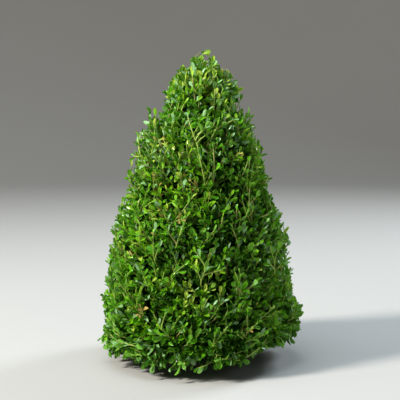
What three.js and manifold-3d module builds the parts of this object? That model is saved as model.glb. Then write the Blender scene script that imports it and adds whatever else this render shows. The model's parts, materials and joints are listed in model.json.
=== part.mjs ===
// A small-leaved holly, trained on one leader and clipped to a cone, rooted in the ground.
// Millimetres, +Z up. The origin is the centre of the flat cut under the trunk, at ground level.
// The front faces -Y. Turns are measured from +X towards +Y, in radians.
//
// The crown is grown round and upright, and every vertex is then settled on the plant: pushed out or in
// by the lumps that the shears left, and moved over with the lean of the leader.

import * as THREE from "three";
import { mergeVertices } from "three/addons/utils/BufferGeometryUtils.js";
import Module from "manifold-3d";

const wasm = await Module();
wasm.setup();

// The clipped outline, which the leaf tips reach
const HEIGHT = 602;
const WIDEST_RADIUS = 190;
const WIDEST_HEIGHT = 60;
const FULLNESS = 1.6; // how late the sides draw in
const BLUNTNESS = 0.58; // the smaller, the rounder the top
const HEM_HEIGHT = 22; // the lowest foliage
const HEM_RADIUS = 160; // where the underside turns up into the side
const UNDERSIDE_RADIUS = 104; // how far in the leafy underside reaches
const UNDERSIDE_RISE = 14; // and how much higher it is there

// The clipped surface dips a little where one tier of limbs meets the next
const CREASES = [
  { height: 200, depth: 2, spread: 22 },
  { height: 336, depth: 8, spread: 30 },
  { height: 500, depth: 14, spread: 24 },
];

// Lumps left by the shears, as shares of the radius
const SHOULDER_BULGE = { share: 0.03, height: 455, spread: 44, turn: Math.PI };
const RIPPLES = [
  { share: 0.014, lobes: 3, twist: 1 / 95, phase: 0.6 },
  { share: 0.01, lobes: 5, twist: -1 / 70, phase: 2.1 },
];
const TOP_LEAN = 7; // how far the leader's top stands towards +X

// The trunk
const TRUNK_RADIUS = 12.5;
const TRUNK_TIP_RADIUS = 4;
const TRUNK_TOP = 462;
const FLARE_RADIUS = 25;
const FLARE_HEIGHT = 11; // the height in which the flare shrinks to a third
const FLARE_LOBES = 5;
const FLARE_LOBE_SHARE = 0.16;
const TRUNK_SIDES = 15;
const TRUNK_ROWS = 16;
const TRUNK_SWAY = 2.5;

// Clearances
const SEAT_GAP = 0.3; // between a limb and what carries it
const SEAM = 0.5; // from each mass to the face it shares with the next
const CHORD = 1.6; // what a flat facet may cut off a round face

// The masses: tiers of limbs on the leader, each limb with its own share of the tier
const TIERS = [
  { name: "skirt", limbs: 5, turn: 0.35, floor: 46, slope: 0, hole: 42, limbAt: 66, limbRadius: 6.4 },
  { name: "waist", limbs: 4, turn: 0.9, floor: 132, slope: 0.36, hole: 34, limbAt: 172, limbRadius: 5.6 },
  { name: "shoulder", limbs: 3, turn: 0.15, floor: 290, slope: 0.36, hole: 25, limbAt: 322, limbRadius: 4.6 },
  { name: "knob", limbs: 1, turn: 0, floor: 471, slope: 0.36, hole: 0, limbAt: TRUNK_TOP, limbRadius: 3.6 },
];
const LIMB_SLOPE = 0.55; // rise over run of a limb inside its mass
const LIMB_REACH = 0.62; // how far out a limb runs, as a share of the outline
const LIMB_SIDES = 7;
const KNOB_STEM = 40; // the leader's last length, inside the knob
const CORE_DEPTH = 18; // from the outline in to the twiggy core
const CORE_ROWS = 4;
const CORE_SIDES = 24;

// The sprays: leaves larger than life, each standing for a tuft of real ones
const SPRAYS = 134;
const LEAF_LENGTH = 48;
const LEAF_WIDTH = 29;
const LEAF_THICKNESS = 2.6;
const LEAF_WIDEST = 0.57; // where the leaf is widest, as a share of its length
const LEAF_DROOP = 0.08;
const LEAF_SUNK = 4; // how deep a side leaf's root goes into its twig
const TWIG_RADIUS = 2.4;
const TWIG_SUNK = 8; // how deep a twig's root goes into the core
const TWIG_SHARE = 0.75; // how far a twig runs on under its end leaf, as a share of the spray
const SIDE_LEAVES = [
  { depth: 14, spread: 1.5, size: 1 },
  { depth: 10, spread: -1.9, size: 0.94 },
]; // seats below the outline, and turns away from the twig's heading
const WANDER = 0.9; // how much a side leaf's turn varies
const UPWARD_PULLS = [1.4, 0.9, 0.5, 0.1, -0.3]; // tried in turn until a spray keeps to its mass
const LIFTS = [0.34, 0.22, 0.1, -0.02, -0.2, -0.45]; // tried in turn until a side leaf keeps to its mass
const LOWEST_LEAF = 10;
const SEED = 68;
const GOLDEN_TURN = Math.PI * (3 - Math.sqrt(5));

const UP = new THREE.Vector3(0, 0, 1);

// A small generator, so that the plant grows the same way each time
function seededRandom(seed) {
  let state = seed;
  return () => {
    state = (state * 1664525 + 1013904223) % 4294967296;
    return state / 4294967296;
  };
}

// The outline

// The clipped radius at a height on the side of the cone
function sideRadius(z) {
  const climb = Math.max(0, (z - WIDEST_HEIGHT) / (HEIGHT - WIDEST_HEIGHT));
  const cone = WIDEST_RADIUS * Math.pow(Math.max(0, 1 - Math.pow(climb, FULLNESS)), BLUNTNESS);
  const dip = CREASES.reduce((sum, c) => sum + c.depth * Math.exp(-(((z - c.height) / c.spread) ** 2)), 0);
  return Math.max(0, cone - dip);
}

// The largest radius at a height, hem included
function outlineRadius(z) {
  if (z >= WIDEST_HEIGHT) return sideRadius(z);
  const fall = (WIDEST_HEIGHT - z) / (WIDEST_HEIGHT - HEM_HEIGHT);
  return HEM_RADIUS + (sideRadius(WIDEST_HEIGHT) - HEM_RADIUS) * Math.sqrt(Math.max(0, 1 - fall * fall));
}

// Points along the outline from the underside to the top, with the area of the surface up to each
function outlinePoints() {
  const hemSteps = 8;
  const sideSteps = 60;
  const points = [new THREE.Vector2(UNDERSIDE_RADIUS, HEM_HEIGHT + UNDERSIDE_RISE)];
  for (let i = 0; i < hemSteps; i++) {
    const z = WIDEST_HEIGHT - (WIDEST_HEIGHT - HEM_HEIGHT) * Math.cos((i / hemSteps) * (Math.PI / 2));
    points.push(new THREE.Vector2(outlineRadius(z), z));
  }
  for (let i = 0; i <= sideSteps; i++) {
    const z = WIDEST_HEIGHT + (HEIGHT - WIDEST_HEIGHT) * Math.sin((i / sideSteps) * (Math.PI / 2));
    points.push(new THREE.Vector2(sideRadius(z), z));
  }
  let area = 0;
  return points.map((p, i) => {
    if (i) area += Math.PI * (p.x + points[i - 1].x) * p.distanceTo(points[i - 1]);
    return { p, area };
  });
}

const OUTLINE = outlinePoints();
const OUTLINE_AREA = OUTLINE.at(-1).area;

// The point and outward normal where a share of the outline's area lies below
function onOutline(share) {
  const wanted = share * OUTLINE_AREA;
  const i = Math.max(1, OUTLINE.findIndex((o) => o.area >= wanted));
  const [low, high] = [OUTLINE[i - 1], OUTLINE[i]];
  const point = low.p.clone().lerp(high.p, (wanted - low.area) / (high.area - low.area));
  const along = high.p.clone().sub(low.p).normalize();
  return { point, normal: new THREE.Vector2(along.y, -along.x) };
}

// How much the plant's radius differs from the round outline, as a share
function lump(z, turn) {
  const bulge = SHOULDER_BULGE;
  const onBulge = Math.exp(-(((z - bulge.height) / bulge.spread) ** 2)) * Math.cos(turn - bulge.turn);
  const ripples = RIPPLES.reduce(
    (sum, r) => sum + r.share * Math.sin(r.lobes * turn + z * r.twist + r.phase), 0);
  return bulge.share * onBulge + ripples;
}

// How far the leader stands from the vertical at a height
function leaderOffset(z) {
  return {
    x: TOP_LEAN * (z / HEIGHT) ** 2,
    y: TRUNK_SWAY * Math.sin((z / TRUNK_TOP) * Math.PI * 2),
  };
}

// Solids

// Moves each vertex of a geometry by a function that changes a THREE.Vector3
function reshape(geometry, move) {
  const position = geometry.getAttribute("position");
  const v = new THREE.Vector3();
  for (let i = 0; i < position.count; i++) {
    move(v.fromBufferAttribute(position, i));
    position.setXYZ(i, v.x, v.y, v.z);
  }
  return geometry;
}

// From the round, upright crown to its true place on the plant
function settle(v) {
  const bulge = 1 + lump(v[2], Math.atan2(v[1], v[0]));
  const offset = leaderOffset(v[2]);
  v[0] = v[0] * bulge + offset.x;
  v[1] = v[1] * bulge + offset.y;
}

function withoutThinFaces(geometry) {
  const index = geometry.index.array;
  const kept = [];
  for (let i = 0; i < index.length; i += 3) {
    const [a, b, c] = [index[i], index[i + 1], index[i + 2]];
    if (a !== b && b !== c && c !== a) kept.push(a, b, c);
  }
  return kept;
}

function toSolid(geometry) {
  const bare = new THREE.BufferGeometry();
  bare.setAttribute("position", geometry.getAttribute("position"));
  if (geometry.index) bare.setIndex(geometry.index);
  const merged = mergeVertices(bare, 1e-4);
  const triVerts = new Uint32Array(withoutThinFaces(merged));
  const vertProperties = new Float32Array(merged.getAttribute("position").array);
  return new wasm.Manifold(new wasm.Mesh({ numProp: 3, vertProperties, triVerts }));
}

// The biggest body of a solid, without its loose scraps and sealed hollows
function largestBody(solid) {
  return solid.decompose().reduce((best, body) => (body.volume() > best.volume() ? body : best));
}

function toGeometry(solid) {
  const mesh = solid.getMesh();
  const geometry = new THREE.BufferGeometry();
  geometry.setAttribute("position", new THREE.BufferAttribute(new Float32Array(mesh.vertProperties), 3));
  geometry.setIndex(new THREE.BufferAttribute(new Uint32Array(mesh.triVerts), 1));
  geometry.computeVertexNormals();
  return geometry;
}

function named(name, geometry, material) {
  const mesh = new THREE.Mesh(geometry, material);
  mesh.name = name;
  return mesh;
}

// The trunk

function trunkRadius(z) {
  const taper = THREE.MathUtils.lerp(TRUNK_RADIUS, TRUNK_TIP_RADIUS, z / TRUNK_TOP);
  return taper + (FLARE_RADIUS - TRUNK_RADIUS) * Math.exp(-z / FLARE_HEIGHT);
}

// A turned leader with its root flare, swayed a little and leaned over. More gap makes it thicker all over.
function trunkGeometry(gap = 0) {
  const profile = [new THREE.Vector2(0, -gap)];
  for (let i = 0; i <= TRUNK_ROWS; i++) {
    const z = TRUNK_TOP * (i / TRUNK_ROWS) ** 2;
    profile.push(new THREE.Vector2(trunkRadius(z) + gap, i ? z : -gap));
  }
  profile.at(-1).y += gap;
  profile.push(new THREE.Vector2(0, TRUNK_TOP + gap));
  const geometry = new THREE.LatheGeometry(profile, TRUNK_SIDES).rotateX(Math.PI / 2);
  return reshape(geometry, (v) => {
    const turn = Math.atan2(v.y, v.x);
    const flare = Math.exp(-Math.max(0, v.z) / FLARE_HEIGHT);
    const lobe = 1 + FLARE_LOBE_SHARE * flare * Math.cos(FLARE_LOBES * turn);
    const offset = leaderOffset(v.z);
    v.set(v.x * lobe + offset.x, v.y * lobe + offset.y, v.z);
  });
}

// The masses and their cores

// The face between one tier and the next, a shallow upward cone. Nothing bounds the knob from above.
function ceilingOf(tier) {
  const next = TIERS[TIERS.indexOf(tier) + 1];
  return next ? { height: next.floor, slope: next.slope } : null;
}

function massesOf(tier) {
  const sweep = (2 * Math.PI) / tier.limbs;
  return Array.from({ length: tier.limbs }, (_, i) => ({
    tier,
    name: tier.limbs === 1 ? `foliage_${tier.name}` : `foliage_${tier.name}_${i + 1}`,
    start: tier.turn + i * sweep,
    sweep,
    ceiling: ceilingOf(tier),
  }));
}

// True where a point of the round crown lies inside a mass's own space
function keepsTo(mass, v) {
  const r = Math.hypot(v.x, v.y);
  const { tier, ceiling } = mass;
  if (v.z < LOWEST_LEAF || r > outlineRadius(v.z) + SEAM) return false;
  if (tier !== TIERS[0] && v.z < tier.floor + tier.slope * r + SEAM) return false;
  if (ceiling && v.z > ceiling.height + ceiling.slope * r - SEAM - CHORD) return false;
  if (tier.limbs === 1) return true;
  const turn = Math.atan2(v.y, v.x);
  return r * Math.sin(turn - mass.start) > SEAM && r * Math.sin(mass.start + mass.sweep - turn) > SEAM;
}

function coreRadius(z) {
  return Math.max(0, outlineRadius(z) - CORE_DEPTH);
}

// Where a rising line from the axis meets the core's outside
function coreRim(height, slope) {
  let r = coreRadius(height);
  for (let i = 0; i < 20; i++) r = (r + coreRadius(height + slope * r)) / 2;
  return new THREE.Vector2(r, height + slope * r);
}

// Half the section of a tier's core: its floor, its outside and its ceiling
function coreProfile(tier, ceiling) {
  const floor = tier.floor + SEAM;
  if (!ceiling) {
    const foot = coreRim(floor, tier.slope);
    const top = HEIGHT - CORE_DEPTH;
    const rows = Array.from({ length: CORE_ROWS }, (_, i) => {
      const z = foot.y + (top - foot.y) * Math.sin(((i + 1) / (CORE_ROWS + 1)) * (Math.PI / 2));
      return new THREE.Vector2(coreRadius(z), z);
    });
    return [new THREE.Vector2(0, floor), foot, ...rows, new THREE.Vector2(0, top)];
  }
  const roof = ceiling.height - SEAM;
  const rim = Array.from({ length: CORE_ROWS + 1 }, (_, i) => {
    const share = i / CORE_ROWS;
    const slope = THREE.MathUtils.lerp(tier.slope, ceiling.slope, share);
    return coreRim(THREE.MathUtils.lerp(floor, roof, share), slope);
  });
  const inner = (height, slope) => new THREE.Vector2(tier.hole, height + slope * tier.hole);
  return [inner(floor, tier.slope), ...rim, inner(roof, ceiling.slope)];
}

// Turns a section round the axis and keeps one mass's share of it
function coreSolid({ tier, start, sweep, ceiling }) {
  const profile = coreProfile(tier, ceiling);
  const whole = tier.limbs === 1;
  const closed = whole ? profile : [...profile, profile[0]];
  const ring = toSolid(new THREE.LatheGeometry(closed, CORE_SIDES).rotateX(Math.PI / 2));
  if (whole) return ring;
  const end = start + sweep;
  return ring
    .trimByPlane([-Math.sin(start), Math.cos(start), 0], SEAM)
    .trimByPlane([Math.sin(end), -Math.cos(end), 0], SEAM);
}

// A limb leaves the trunk and climbs into its mass. The knob's rises from the trunk's tip.
function limbGeometry({ tier, start, sweep }) {
  const root = new THREE.Vector3(0, 0, tier.limbAt);
  if (tier.limbs === 1) return taperedStick(root, UP, KNOB_STEM, tier.limbRadius, LIMB_SIDES);
  const turn = start + sweep / 2;
  const heading = new THREE.Vector3(Math.cos(turn), Math.sin(turn), LIMB_SLOPE).normalize();
  const length = LIMB_REACH * outlineRadius(tier.limbAt) * Math.hypot(1, LIMB_SLOPE);
  return taperedStick(root, heading, length, tier.limbRadius, LIMB_SIDES);
}

// A cone-shaped stick with a flat root and a pointed tip
function taperedStick(root, heading, length, radius, sides) {
  const cone = new THREE.ConeGeometry(radius, length, sides).rotateX(Math.PI / 2).translate(0, 0, length / 2);
  return placed(cone, root, heading);
}

// Moves a geometry that points along +Z so that it starts at root and points along heading
function placed(geometry, root, heading) {
  const turn = new THREE.Quaternion().setFromUnitVectors(UP, heading);
  return geometry.applyQuaternion(turn).translate(root.x, root.y, root.z);
}

// The sprays

// A leaf of eight faces along heading, its upper side towards face
function leafGeometry(root, heading, face, size) {
  const [length, width, thickness] = [LEAF_LENGTH, LEAF_WIDTH, LEAF_THICKNESS].map((x) => x * size);
  const leaf = reshape(new THREE.OctahedronGeometry(1), (v) => {
    const atEdge = Math.abs(v.y) > 0.5;
    const atEnd = Math.abs(v.x) > 0.5;
    const along = atEnd ? (v.x + 1) / 2 : LEAF_WIDEST;
    const droop = atEnd ? 0 : LEAF_DROOP * length * (atEdge ? 0.6 : 1);
    v.set(along * length, (v.y * width) / 2, (v.z * thickness) / 2 + droop);
  });
  const side = new THREE.Vector3().crossVectors(face, heading).normalize();
  const upper = new THREE.Vector3().crossVectors(heading, side);
  const frame = new THREE.Matrix4().makeBasis(heading, side, upper).setPosition(root);
  return leaf.applyMatrix4(frame);
}

function allKeepTo(mass, geometry) {
  const position = geometry.getAttribute("position");
  const v = new THREE.Vector3();
  for (let i = 0; i < position.count; i++) {
    if (!keepsTo(mass, v.fromBufferAttribute(position, i))) return false;
  }
  return true;
}

// A side leaf that lifts towards the outline as far as its mass allows, or nothing
function sideLeaf(mass, seat, across, normal, size) {
  for (const lift of LIFTS) {
    const way = across.clone().multiplyScalar(Math.cos(lift)).addScaledVector(normal, Math.sin(lift));
    const leaf = leafGeometry(seat.clone().addScaledVector(way, -LEAF_SUNK / 2), way, normal, size);
    if (allKeepTo(mass, leaf)) return leaf;
  }
  return null;
}

// One spray that ends at a point of the outline, or nothing where it would leave its mass
function sprayOf(mass, tip, normal, pull, random) {
  const heading = normal.clone().addScaledVector(UP, pull).normalize();
  const slant = 1 / heading.dot(normal);
  const below = (depth) => tip.clone().addScaledVector(heading, -depth * slant);
  const root = below(CORE_DEPTH + TWIG_SUNK);
  const face = normal.clone().addScaledVector(heading, -normal.dot(heading)).add(UP).normalize();
  const endLeaf = leafGeometry(tip.clone().addScaledVector(heading, -LEAF_LENGTH), heading, face, 1);
  const twigLength = (CORE_DEPTH + TWIG_SUNK) * slant * TWIG_SHARE;
  const twig = taperedStick(root, heading, twigLength, TWIG_RADIUS, 3);
  if (!allKeepTo(mass, twig) || !allKeepTo(mass, endLeaf)) return [];
  const flat = heading.clone().addScaledVector(normal, -heading.dot(normal));
  const along = flat.lengthSq() > 0.001 ? flat.normalize() : new THREE.Vector3(normal.z, normal.x, normal.y);
  const leaves = SIDE_LEAVES.map(({ depth, spread, size }) => {
    const across = along.clone().applyAxisAngle(normal, spread + (random() - 0.5) * WANDER);
    return sideLeaf(mass, below(depth), across, normal, size * (0.9 + 0.2 * random()));
  });
  return [twig, endLeaf, ...leaves.filter(Boolean)];
}

// Deals the sprays evenly over the outline by the golden turn, each to the mass it grows in
function growSprays(masses) {
  const random = seededRandom(SEED);
  const grown = new Map(masses.map((mass) => [mass, []]));
  for (let i = 0; i < SPRAYS; i++) {
    const { point, normal } = onOutline(i / (SPRAYS - 1));
    const turn = i * GOLDEN_TURN;
    const spin = (flat) => new THREE.Vector3(flat.x * Math.cos(turn), flat.x * Math.sin(turn), flat.y);
    const tip = spin(point);
    const out = spin(normal);
    const inside = tip.clone().addScaledVector(out, -CORE_DEPTH);
    const mass = masses.find((m) => keepsTo(m, inside)) ?? masses.find((m) => keepsTo(m, tip));
    if (!mass) continue;
    for (const pull of UPWARD_PULLS) {
      const spray = sprayOf(mass, tip, out, pull, random);
      if (spray.length) {
        grown.get(mass).push(...spray);
        break;
      }
    }
  }
  return grown;
}

// Joins a mass's core, limb, twigs and leaves into one body, clear of the trunk
function massSolid(mass, sprays, trunkClear) {
  const solids = [coreSolid(mass), ...[limbGeometry(mass), ...sprays].map(toSolid)];
  return largestBody(wasm.Manifold.union(solids).warp(settle).subtract(trunkClear));
}

// The plant

const bark = new THREE.MeshStandardMaterial({ color: 0x6e6455, roughness: 0.9, metalness: 0 });
const foliage = new THREE.MeshStandardMaterial({ color: 0x3f6a1d, roughness: 0.55, metalness: 0 });

const plant = new THREE.Group();
plant.add(named("trunk", trunkGeometry(), bark));

const trunkClear = toSolid(trunkGeometry(SEAT_GAP));
const masses = TIERS.flatMap(massesOf);
for (const [mass, sprays] of growSprays(masses)) {
  plant.add(named(mass.name, toGeometry(massSolid(mass, sprays, trunkClear)), foliage));
}

export default plant;
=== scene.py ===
"""A small-leaved holly clipped to a cone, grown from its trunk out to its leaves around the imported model.

Metres, +Z up, with the front towards -Y. Turns are measured from +X towards +Y, in radians. The crown is
grown round and upright, by the rule that its solids follow. Each point is then settled on the plant: pushed
out or in by the lumps that the shears left, and moved over with the lean of the leader.
"""

import json
import math
from dataclasses import dataclass

import bpy
import numpy as np
from bpy.props import FloatProperty, FloatVectorProperty, IntProperty, PointerProperty
from bpy.types import Operator, Panel, PropertyGroup
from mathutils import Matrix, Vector

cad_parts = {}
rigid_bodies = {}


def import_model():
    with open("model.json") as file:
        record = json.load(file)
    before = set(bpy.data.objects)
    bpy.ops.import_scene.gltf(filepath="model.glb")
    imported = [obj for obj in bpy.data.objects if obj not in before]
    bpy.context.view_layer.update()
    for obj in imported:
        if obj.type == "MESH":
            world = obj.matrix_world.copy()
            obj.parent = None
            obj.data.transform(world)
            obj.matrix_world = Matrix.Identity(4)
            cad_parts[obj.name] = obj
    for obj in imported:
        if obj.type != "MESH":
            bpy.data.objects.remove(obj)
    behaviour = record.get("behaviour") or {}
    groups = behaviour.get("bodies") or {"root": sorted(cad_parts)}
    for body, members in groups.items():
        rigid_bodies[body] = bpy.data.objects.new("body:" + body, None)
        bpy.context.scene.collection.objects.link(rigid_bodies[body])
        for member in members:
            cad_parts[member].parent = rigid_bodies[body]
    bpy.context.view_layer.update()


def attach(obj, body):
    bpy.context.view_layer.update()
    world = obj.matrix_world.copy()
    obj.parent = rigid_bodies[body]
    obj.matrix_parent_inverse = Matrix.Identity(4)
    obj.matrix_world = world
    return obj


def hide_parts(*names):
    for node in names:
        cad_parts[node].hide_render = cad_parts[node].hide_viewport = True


bl_info = {
    "name": "Clipped Holly Cone",
    "version": (1, 0, 0),
    "blender": (4, 5, 0),
    "location": "3D Viewport > Sidebar > Topiary",
    "description": "Grows a clipped holly cone from its trunk out to its leaves",
    "category": "Add Mesh",
}

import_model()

FULL_TURN = 2 * math.pi
GOLDEN_TURN = math.pi * (3 - math.sqrt(5))
UP = np.array((0.0, 0.0, 1.0))
TINY = 1e-9

# The tiers of limbs, as the solids have them


@dataclass
class Tier:
    """A ring of limbs: where its masses start, how that floor slopes, how high and thick the limbs are"""

    name: str
    limbs: int
    turn: float
    floor: float
    slope: float
    limb_at: float
    limb_radius: float


@dataclass
class Mass:
    """One limb's share of a tier"""

    tier: Tier
    number: int

    @property
    def name(self):
        return self.tier.name if self.tier.limbs == 1 else f"{self.tier.name}_{self.number + 1}"

    @property
    def turn(self):
        """The turn of the limb, in the middle of its share"""
        start = self.tier.turn + self.number * FULL_TURN / self.tier.limbs
        return start + FULL_TURN / self.tier.limbs / 2


TIERS = (
    Tier("skirt", limbs=5, turn=0.35, floor=0.046, slope=0.0, limb_at=0.066, limb_radius=0.0064),
    Tier("waist", limbs=4, turn=0.9, floor=0.132, slope=0.36, limb_at=0.172, limb_radius=0.0056),
    Tier("shoulder", limbs=3, turn=0.15, floor=0.29, slope=0.36, limb_at=0.322, limb_radius=0.0046),
    Tier("knob", limbs=1, turn=0.0, floor=0.471, slope=0.36, limb_at=0.462, limb_radius=0.0036),
)
LIMB_SLOPE = 0.55
LIMB_REACH = 0.62
KNOB_STEM = 0.04
CORE_DEPTH = 0.018
TWIG_SUNK = 0.008
TRUNK_SWAY = 0.0025

# How the clipped skin departs from the round cone: creases where tiers meet, told by height, depth and
# spread, the bulge of the left shoulder, ripples, the blunt peak, and the hem lifted at the front right

CREASES = ((0.2, 0.002, 0.022), (0.336, 0.008, 0.03), (0.5, 0.014, 0.024))
SHOULDER_BULGE = {"share": 0.03, "height": 0.455, "spread": 0.044, "turn": math.pi}
RIPPLES = (
    {"share": 0.014, "lobes": 3, "twist": 1 / 0.095, "phase": 0.6},
    {"share": 0.01, "lobes": 5, "twist": -1 / 0.07, "phase": 2.1},
)
PEAK = {"ring": 0.028, "spread": 0.014, "drop": 0.008, "above": 0.54, "fade": 0.03}
HEM_LIFT = {"rise": 0.045, "turn": -0.42, "spread": 0.6, "fade": 0.06, "start": 0.02}

# Single places in the skin, each told by its turn and height


@dataclass
class Mark:
    """Where the shears left more or took more, and over how much of the height and of the turn"""

    turn: float
    height: float
    out: float
    high: float
    wide: float


@dataclass
class Place:
    """A round patch: how much deeper its twigs end, how much younger its leaves are, partly young growth and
    partly painted light and shade, and how many more of them get the pale painted sheen
    """

    turn: float
    height: float
    reach: float
    depth: float = 0.0
    # Youth: partly young growth, partly painted light where it is raised and painted shade where it is
    # lowered
    youth: float = 0.0
    # A larger share of leaves with the pale painted sheen
    pale: float = 0.0


@dataclass
class Sprig:
    """A few shoots out of the clipped skin: how far they stand out, and how steeply they rise"""

    turn: float
    height: float
    beyond: float = 0.002
    rise: float = 0.6


@dataclass
class Fork:
    """A long stem that runs up the skin and forks

    Leans are from straight up, to the right as seen from outside. A prong is told by its share of the stem,
    its lean and its length.
    """

    turn: float
    height: float
    lean: float
    length: float
    prongs: tuple = ()


SHEAR_MARKS = (
    Mark(math.pi, 0.405, out=-0.0085, high=0.08, wide=0.7),
    Mark(-0.1, 0.38, out=-0.011, high=0.085, wide=0.7),
    Mark(-3.0, 0.034, out=0.01, high=0.022, wide=0.6),
    Mark(-0.1, 0.316, out=-0.008, high=0.022, wide=0.6),
    Mark(3.1, 0.336, out=-0.007, high=0.015, wide=0.6),
    Mark(-0.15, 0.05, out=0.009, high=0.025, wide=0.5),
    Mark(math.pi, 0.52, out=-0.026, high=0.046, wide=0.8),
    Mark(-0.1, 0.19, out=-0.005, high=0.07, wide=0.5),
)
HOLLOWS = (
    Place(-1.9, 0.237, 0.026, depth=0.024),
    Place(-1.4, 0.1, 0.022, depth=0.018),
    Place(-1.2, 0.257, 0.018, depth=0.016),
    Place(-2.02, 0.33, 0.016, depth=0.014),
    Place(-2.03, 0.132, 0.022, depth=0.02),
    Place(-0.98, 0.165, 0.022, depth=0.018),
    Place(-1.05, 0.1, 0.018, depth=0.018),
    Place(-1.4, 0.394, 0.016, depth=0.014),
    Place(-0.93, 0.298, 0.022, depth=0.014),
    Place(-0.5, 0.2, 0.02, depth=0.016),
    Place(-0.6, 0.13, 0.02, depth=0.016),
    Place(-0.75, 0.06, 0.018, depth=0.014),
)
# Patches where leaves are younger and brighter or older and darker, partly young growth and partly painted
# light and shade where the crown is lit or shaded, and where more leaves get the pale painted sheen
GROWTH_AND_PAINTED_LIGHT_SPOTS = (
    Place(-2.7, 0.425, 0.06, youth=2.4, pale=0.2),
    Place(-2.03, 0.345, 0.042, youth=1.6),
    Place(-1.62, 0.19, 0.036, youth=2.1),
    Place(-1.25, 0.195, 0.025, youth=0.7),
    Place(-2.42, 0.428, 0.03, youth=1.8, pale=0.3),
    Place(-2.38, 0.376, 0.022, youth=-1.4),
    Place(-2.33, 0.098, 0.036, youth=2.0),
    Place(-1.64, 0.125, 0.034, youth=2.6),
    Place(-1.48, 0.158, 0.025, youth=0.8),
    Place(-2.3, 0.24, 0.035, youth=0.6),
    Place(-2.57, 0.31, 0.035, youth=1.4),
    Place(-2.85, 0.1, 0.05, youth=0.8),
    Place(-0.3, 0.13, 0.04, youth=0.6),
    Place(-0.8, 0.12, 0.032, youth=1.6),
    Place(-1.45, 0.3, 0.04, youth=-0.9),
    Place(-0.7, 0.27, 0.04, youth=-0.7),
    Place(-1.35, 0.107, 0.03, youth=-1.2),
    Place(-1.25, 0.08, 0.026, youth=-1.9),
    Place(-0.9, 0.31, 0.035, youth=-1.1),
    Place(-2.2, 0.045, 0.03, youth=-0.6),
    Place(-1.1, 0.42, 0.035, youth=-2.2),
    Place(-0.55, 0.29, 0.03, youth=-0.4),
    Place(-0.35, 0.075, 0.045, youth=1.2),
    Place(-0.62, 0.22, 0.04, youth=-1.7),
    Place(-1.2, 0.285, 0.026, youth=-1.0),
    Place(-1.08, 0.23, 0.024, youth=-0.9),
    Place(-1.88, 0.15, 0.022, youth=-1.1),
    Place(-2.1, 0.068, 0.026, youth=-0.9),
    Place(-2.1, 0.112, 0.022, youth=1.0),
    Place(-0.5, 0.322, 0.028, youth=1.2, pale=0.1),
    Place(-0.67, 0.276, 0.022, youth=1.3),
    Place(-0.4, 0.245, 0.024, youth=1.1, pale=0.15),
    Place(-0.95, 0.145, 0.024, youth=0.9, pale=0.2),
    Place(-0.4, 0.2, 0.13, youth=0.15, pale=0.16),
    Place(-0.1, 0.16, 0.06, youth=0.4, pale=0.15),
    Place(0.0, 0.09, 0.035, youth=0.8, pale=0.4),
    Place(-0.72, 0.095, 0.03, youth=1.5),
    Place(-0.67, 0.05, 0.028, youth=1.5),
    Place(-1.4, 0.455, 0.03, youth=-1.2),
    Place(-0.6, 0.4, 0.034, youth=1.6),
    Place(-1.75, 0.085, 0.03, youth=-0.7),
)
WITHERED_TUFTS = (
    Sprig(-1.88, 0.417),
    Sprig(-2.55, 0.395),
    Sprig(-2.3, 0.372),
    Sprig(-1.74, 0.357),
    Sprig(-0.95, 0.415),
    Sprig(-2.1, 0.312),
    Sprig(-2.16, 0.13),
    Sprig(-1.12, 0.085),
    Sprig(-0.3, 0.36),
    Sprig(1.2, 0.33),
    Sprig(2.3, 0.2),
)
SPRIGS = (
    Sprig(-1.1, 0.578, beyond=0.004, rise=1.6),
    Sprig(-2.8, 0.556, beyond=-0.004, rise=1.2),
    Sprig(math.pi, 0.516, beyond=0.006, rise=0.3),
    Sprig(3.58, 0.452, beyond=0.024, rise=3.5),
    Sprig(3.8, 0.46, beyond=0.02, rise=4.0),
    Sprig(-0.4, 0.474, beyond=0.008, rise=2.5),
    Sprig(3.2, 0.318, beyond=0.0, rise=0.2),
    Sprig(3.05, 0.186, beyond=0.006, rise=0.2),
    Sprig(3.3, 0.044, beyond=0.0, rise=-0.3),
    Sprig(0.06, 0.082, beyond=0.001, rise=0.4),
    Sprig(-0.1, 0.53, beyond=-0.002, rise=0.2),
    Sprig(-0.3, 0.255, beyond=0.003, rise=1.0),
    Sprig(-0.6, 0.034, beyond=0.0, rise=-1.0),
    Sprig(-0.4, 0.03, beyond=0.002, rise=-1.0),
    Sprig(-2.1, 0.035, beyond=0.0, rise=-0.8),
    Sprig(-1.75, 0.034, beyond=0.0, rise=-0.8),
    Sprig(-1.42, 0.036, beyond=0.0, rise=-0.8),
)
FRONT_FORKS = (
    Fork(-1.83, 0.476, lean=-0.4, length=0.135, prongs=((0.58, 1.05, 0.09), (0.64, 0.55, 0.036))),
    Fork(-1.63, 0.43, lean=-0.17, length=0.09),
    Fork(-1.4, 0.42, lean=-0.08, length=0.07),
    Fork(-0.95, 0.05, lean=1.0, length=0.075),
    Fork(-1.72, 0.3, lean=0.35, length=0.08, prongs=((0.6, -0.5, 0.03),)),
    Fork(-1.2, 0.2, lean=-0.35, length=0.08, prongs=((0.55, 0.7, 0.036), (0.7, -0.9, 0.02))),
    Fork(-1.3, 0.105, lean=0.75, length=0.075, prongs=((0.6, 0.1, 0.03),)),
    Fork(-2.1, 0.27, lean=-0.1, length=0.08, prongs=((0.55, 0.5, 0.03),)),
)
CHANCE_FORKS = 25
FORK_LENGTH = 0.07
PRONGS_ON_A_FORK = 3
PRONG_LENGTH = 0.03
PRONG_ASIDE = 0.7

# Kinds of stem, and kinds of leaf, from old to young and then the rarer ones: pale, whose colour is a painted
# sheen, dry, and shade, whose colour is painted shade. A kind of leaf has its roughness, its coat and how
# much light it lets through.

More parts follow.
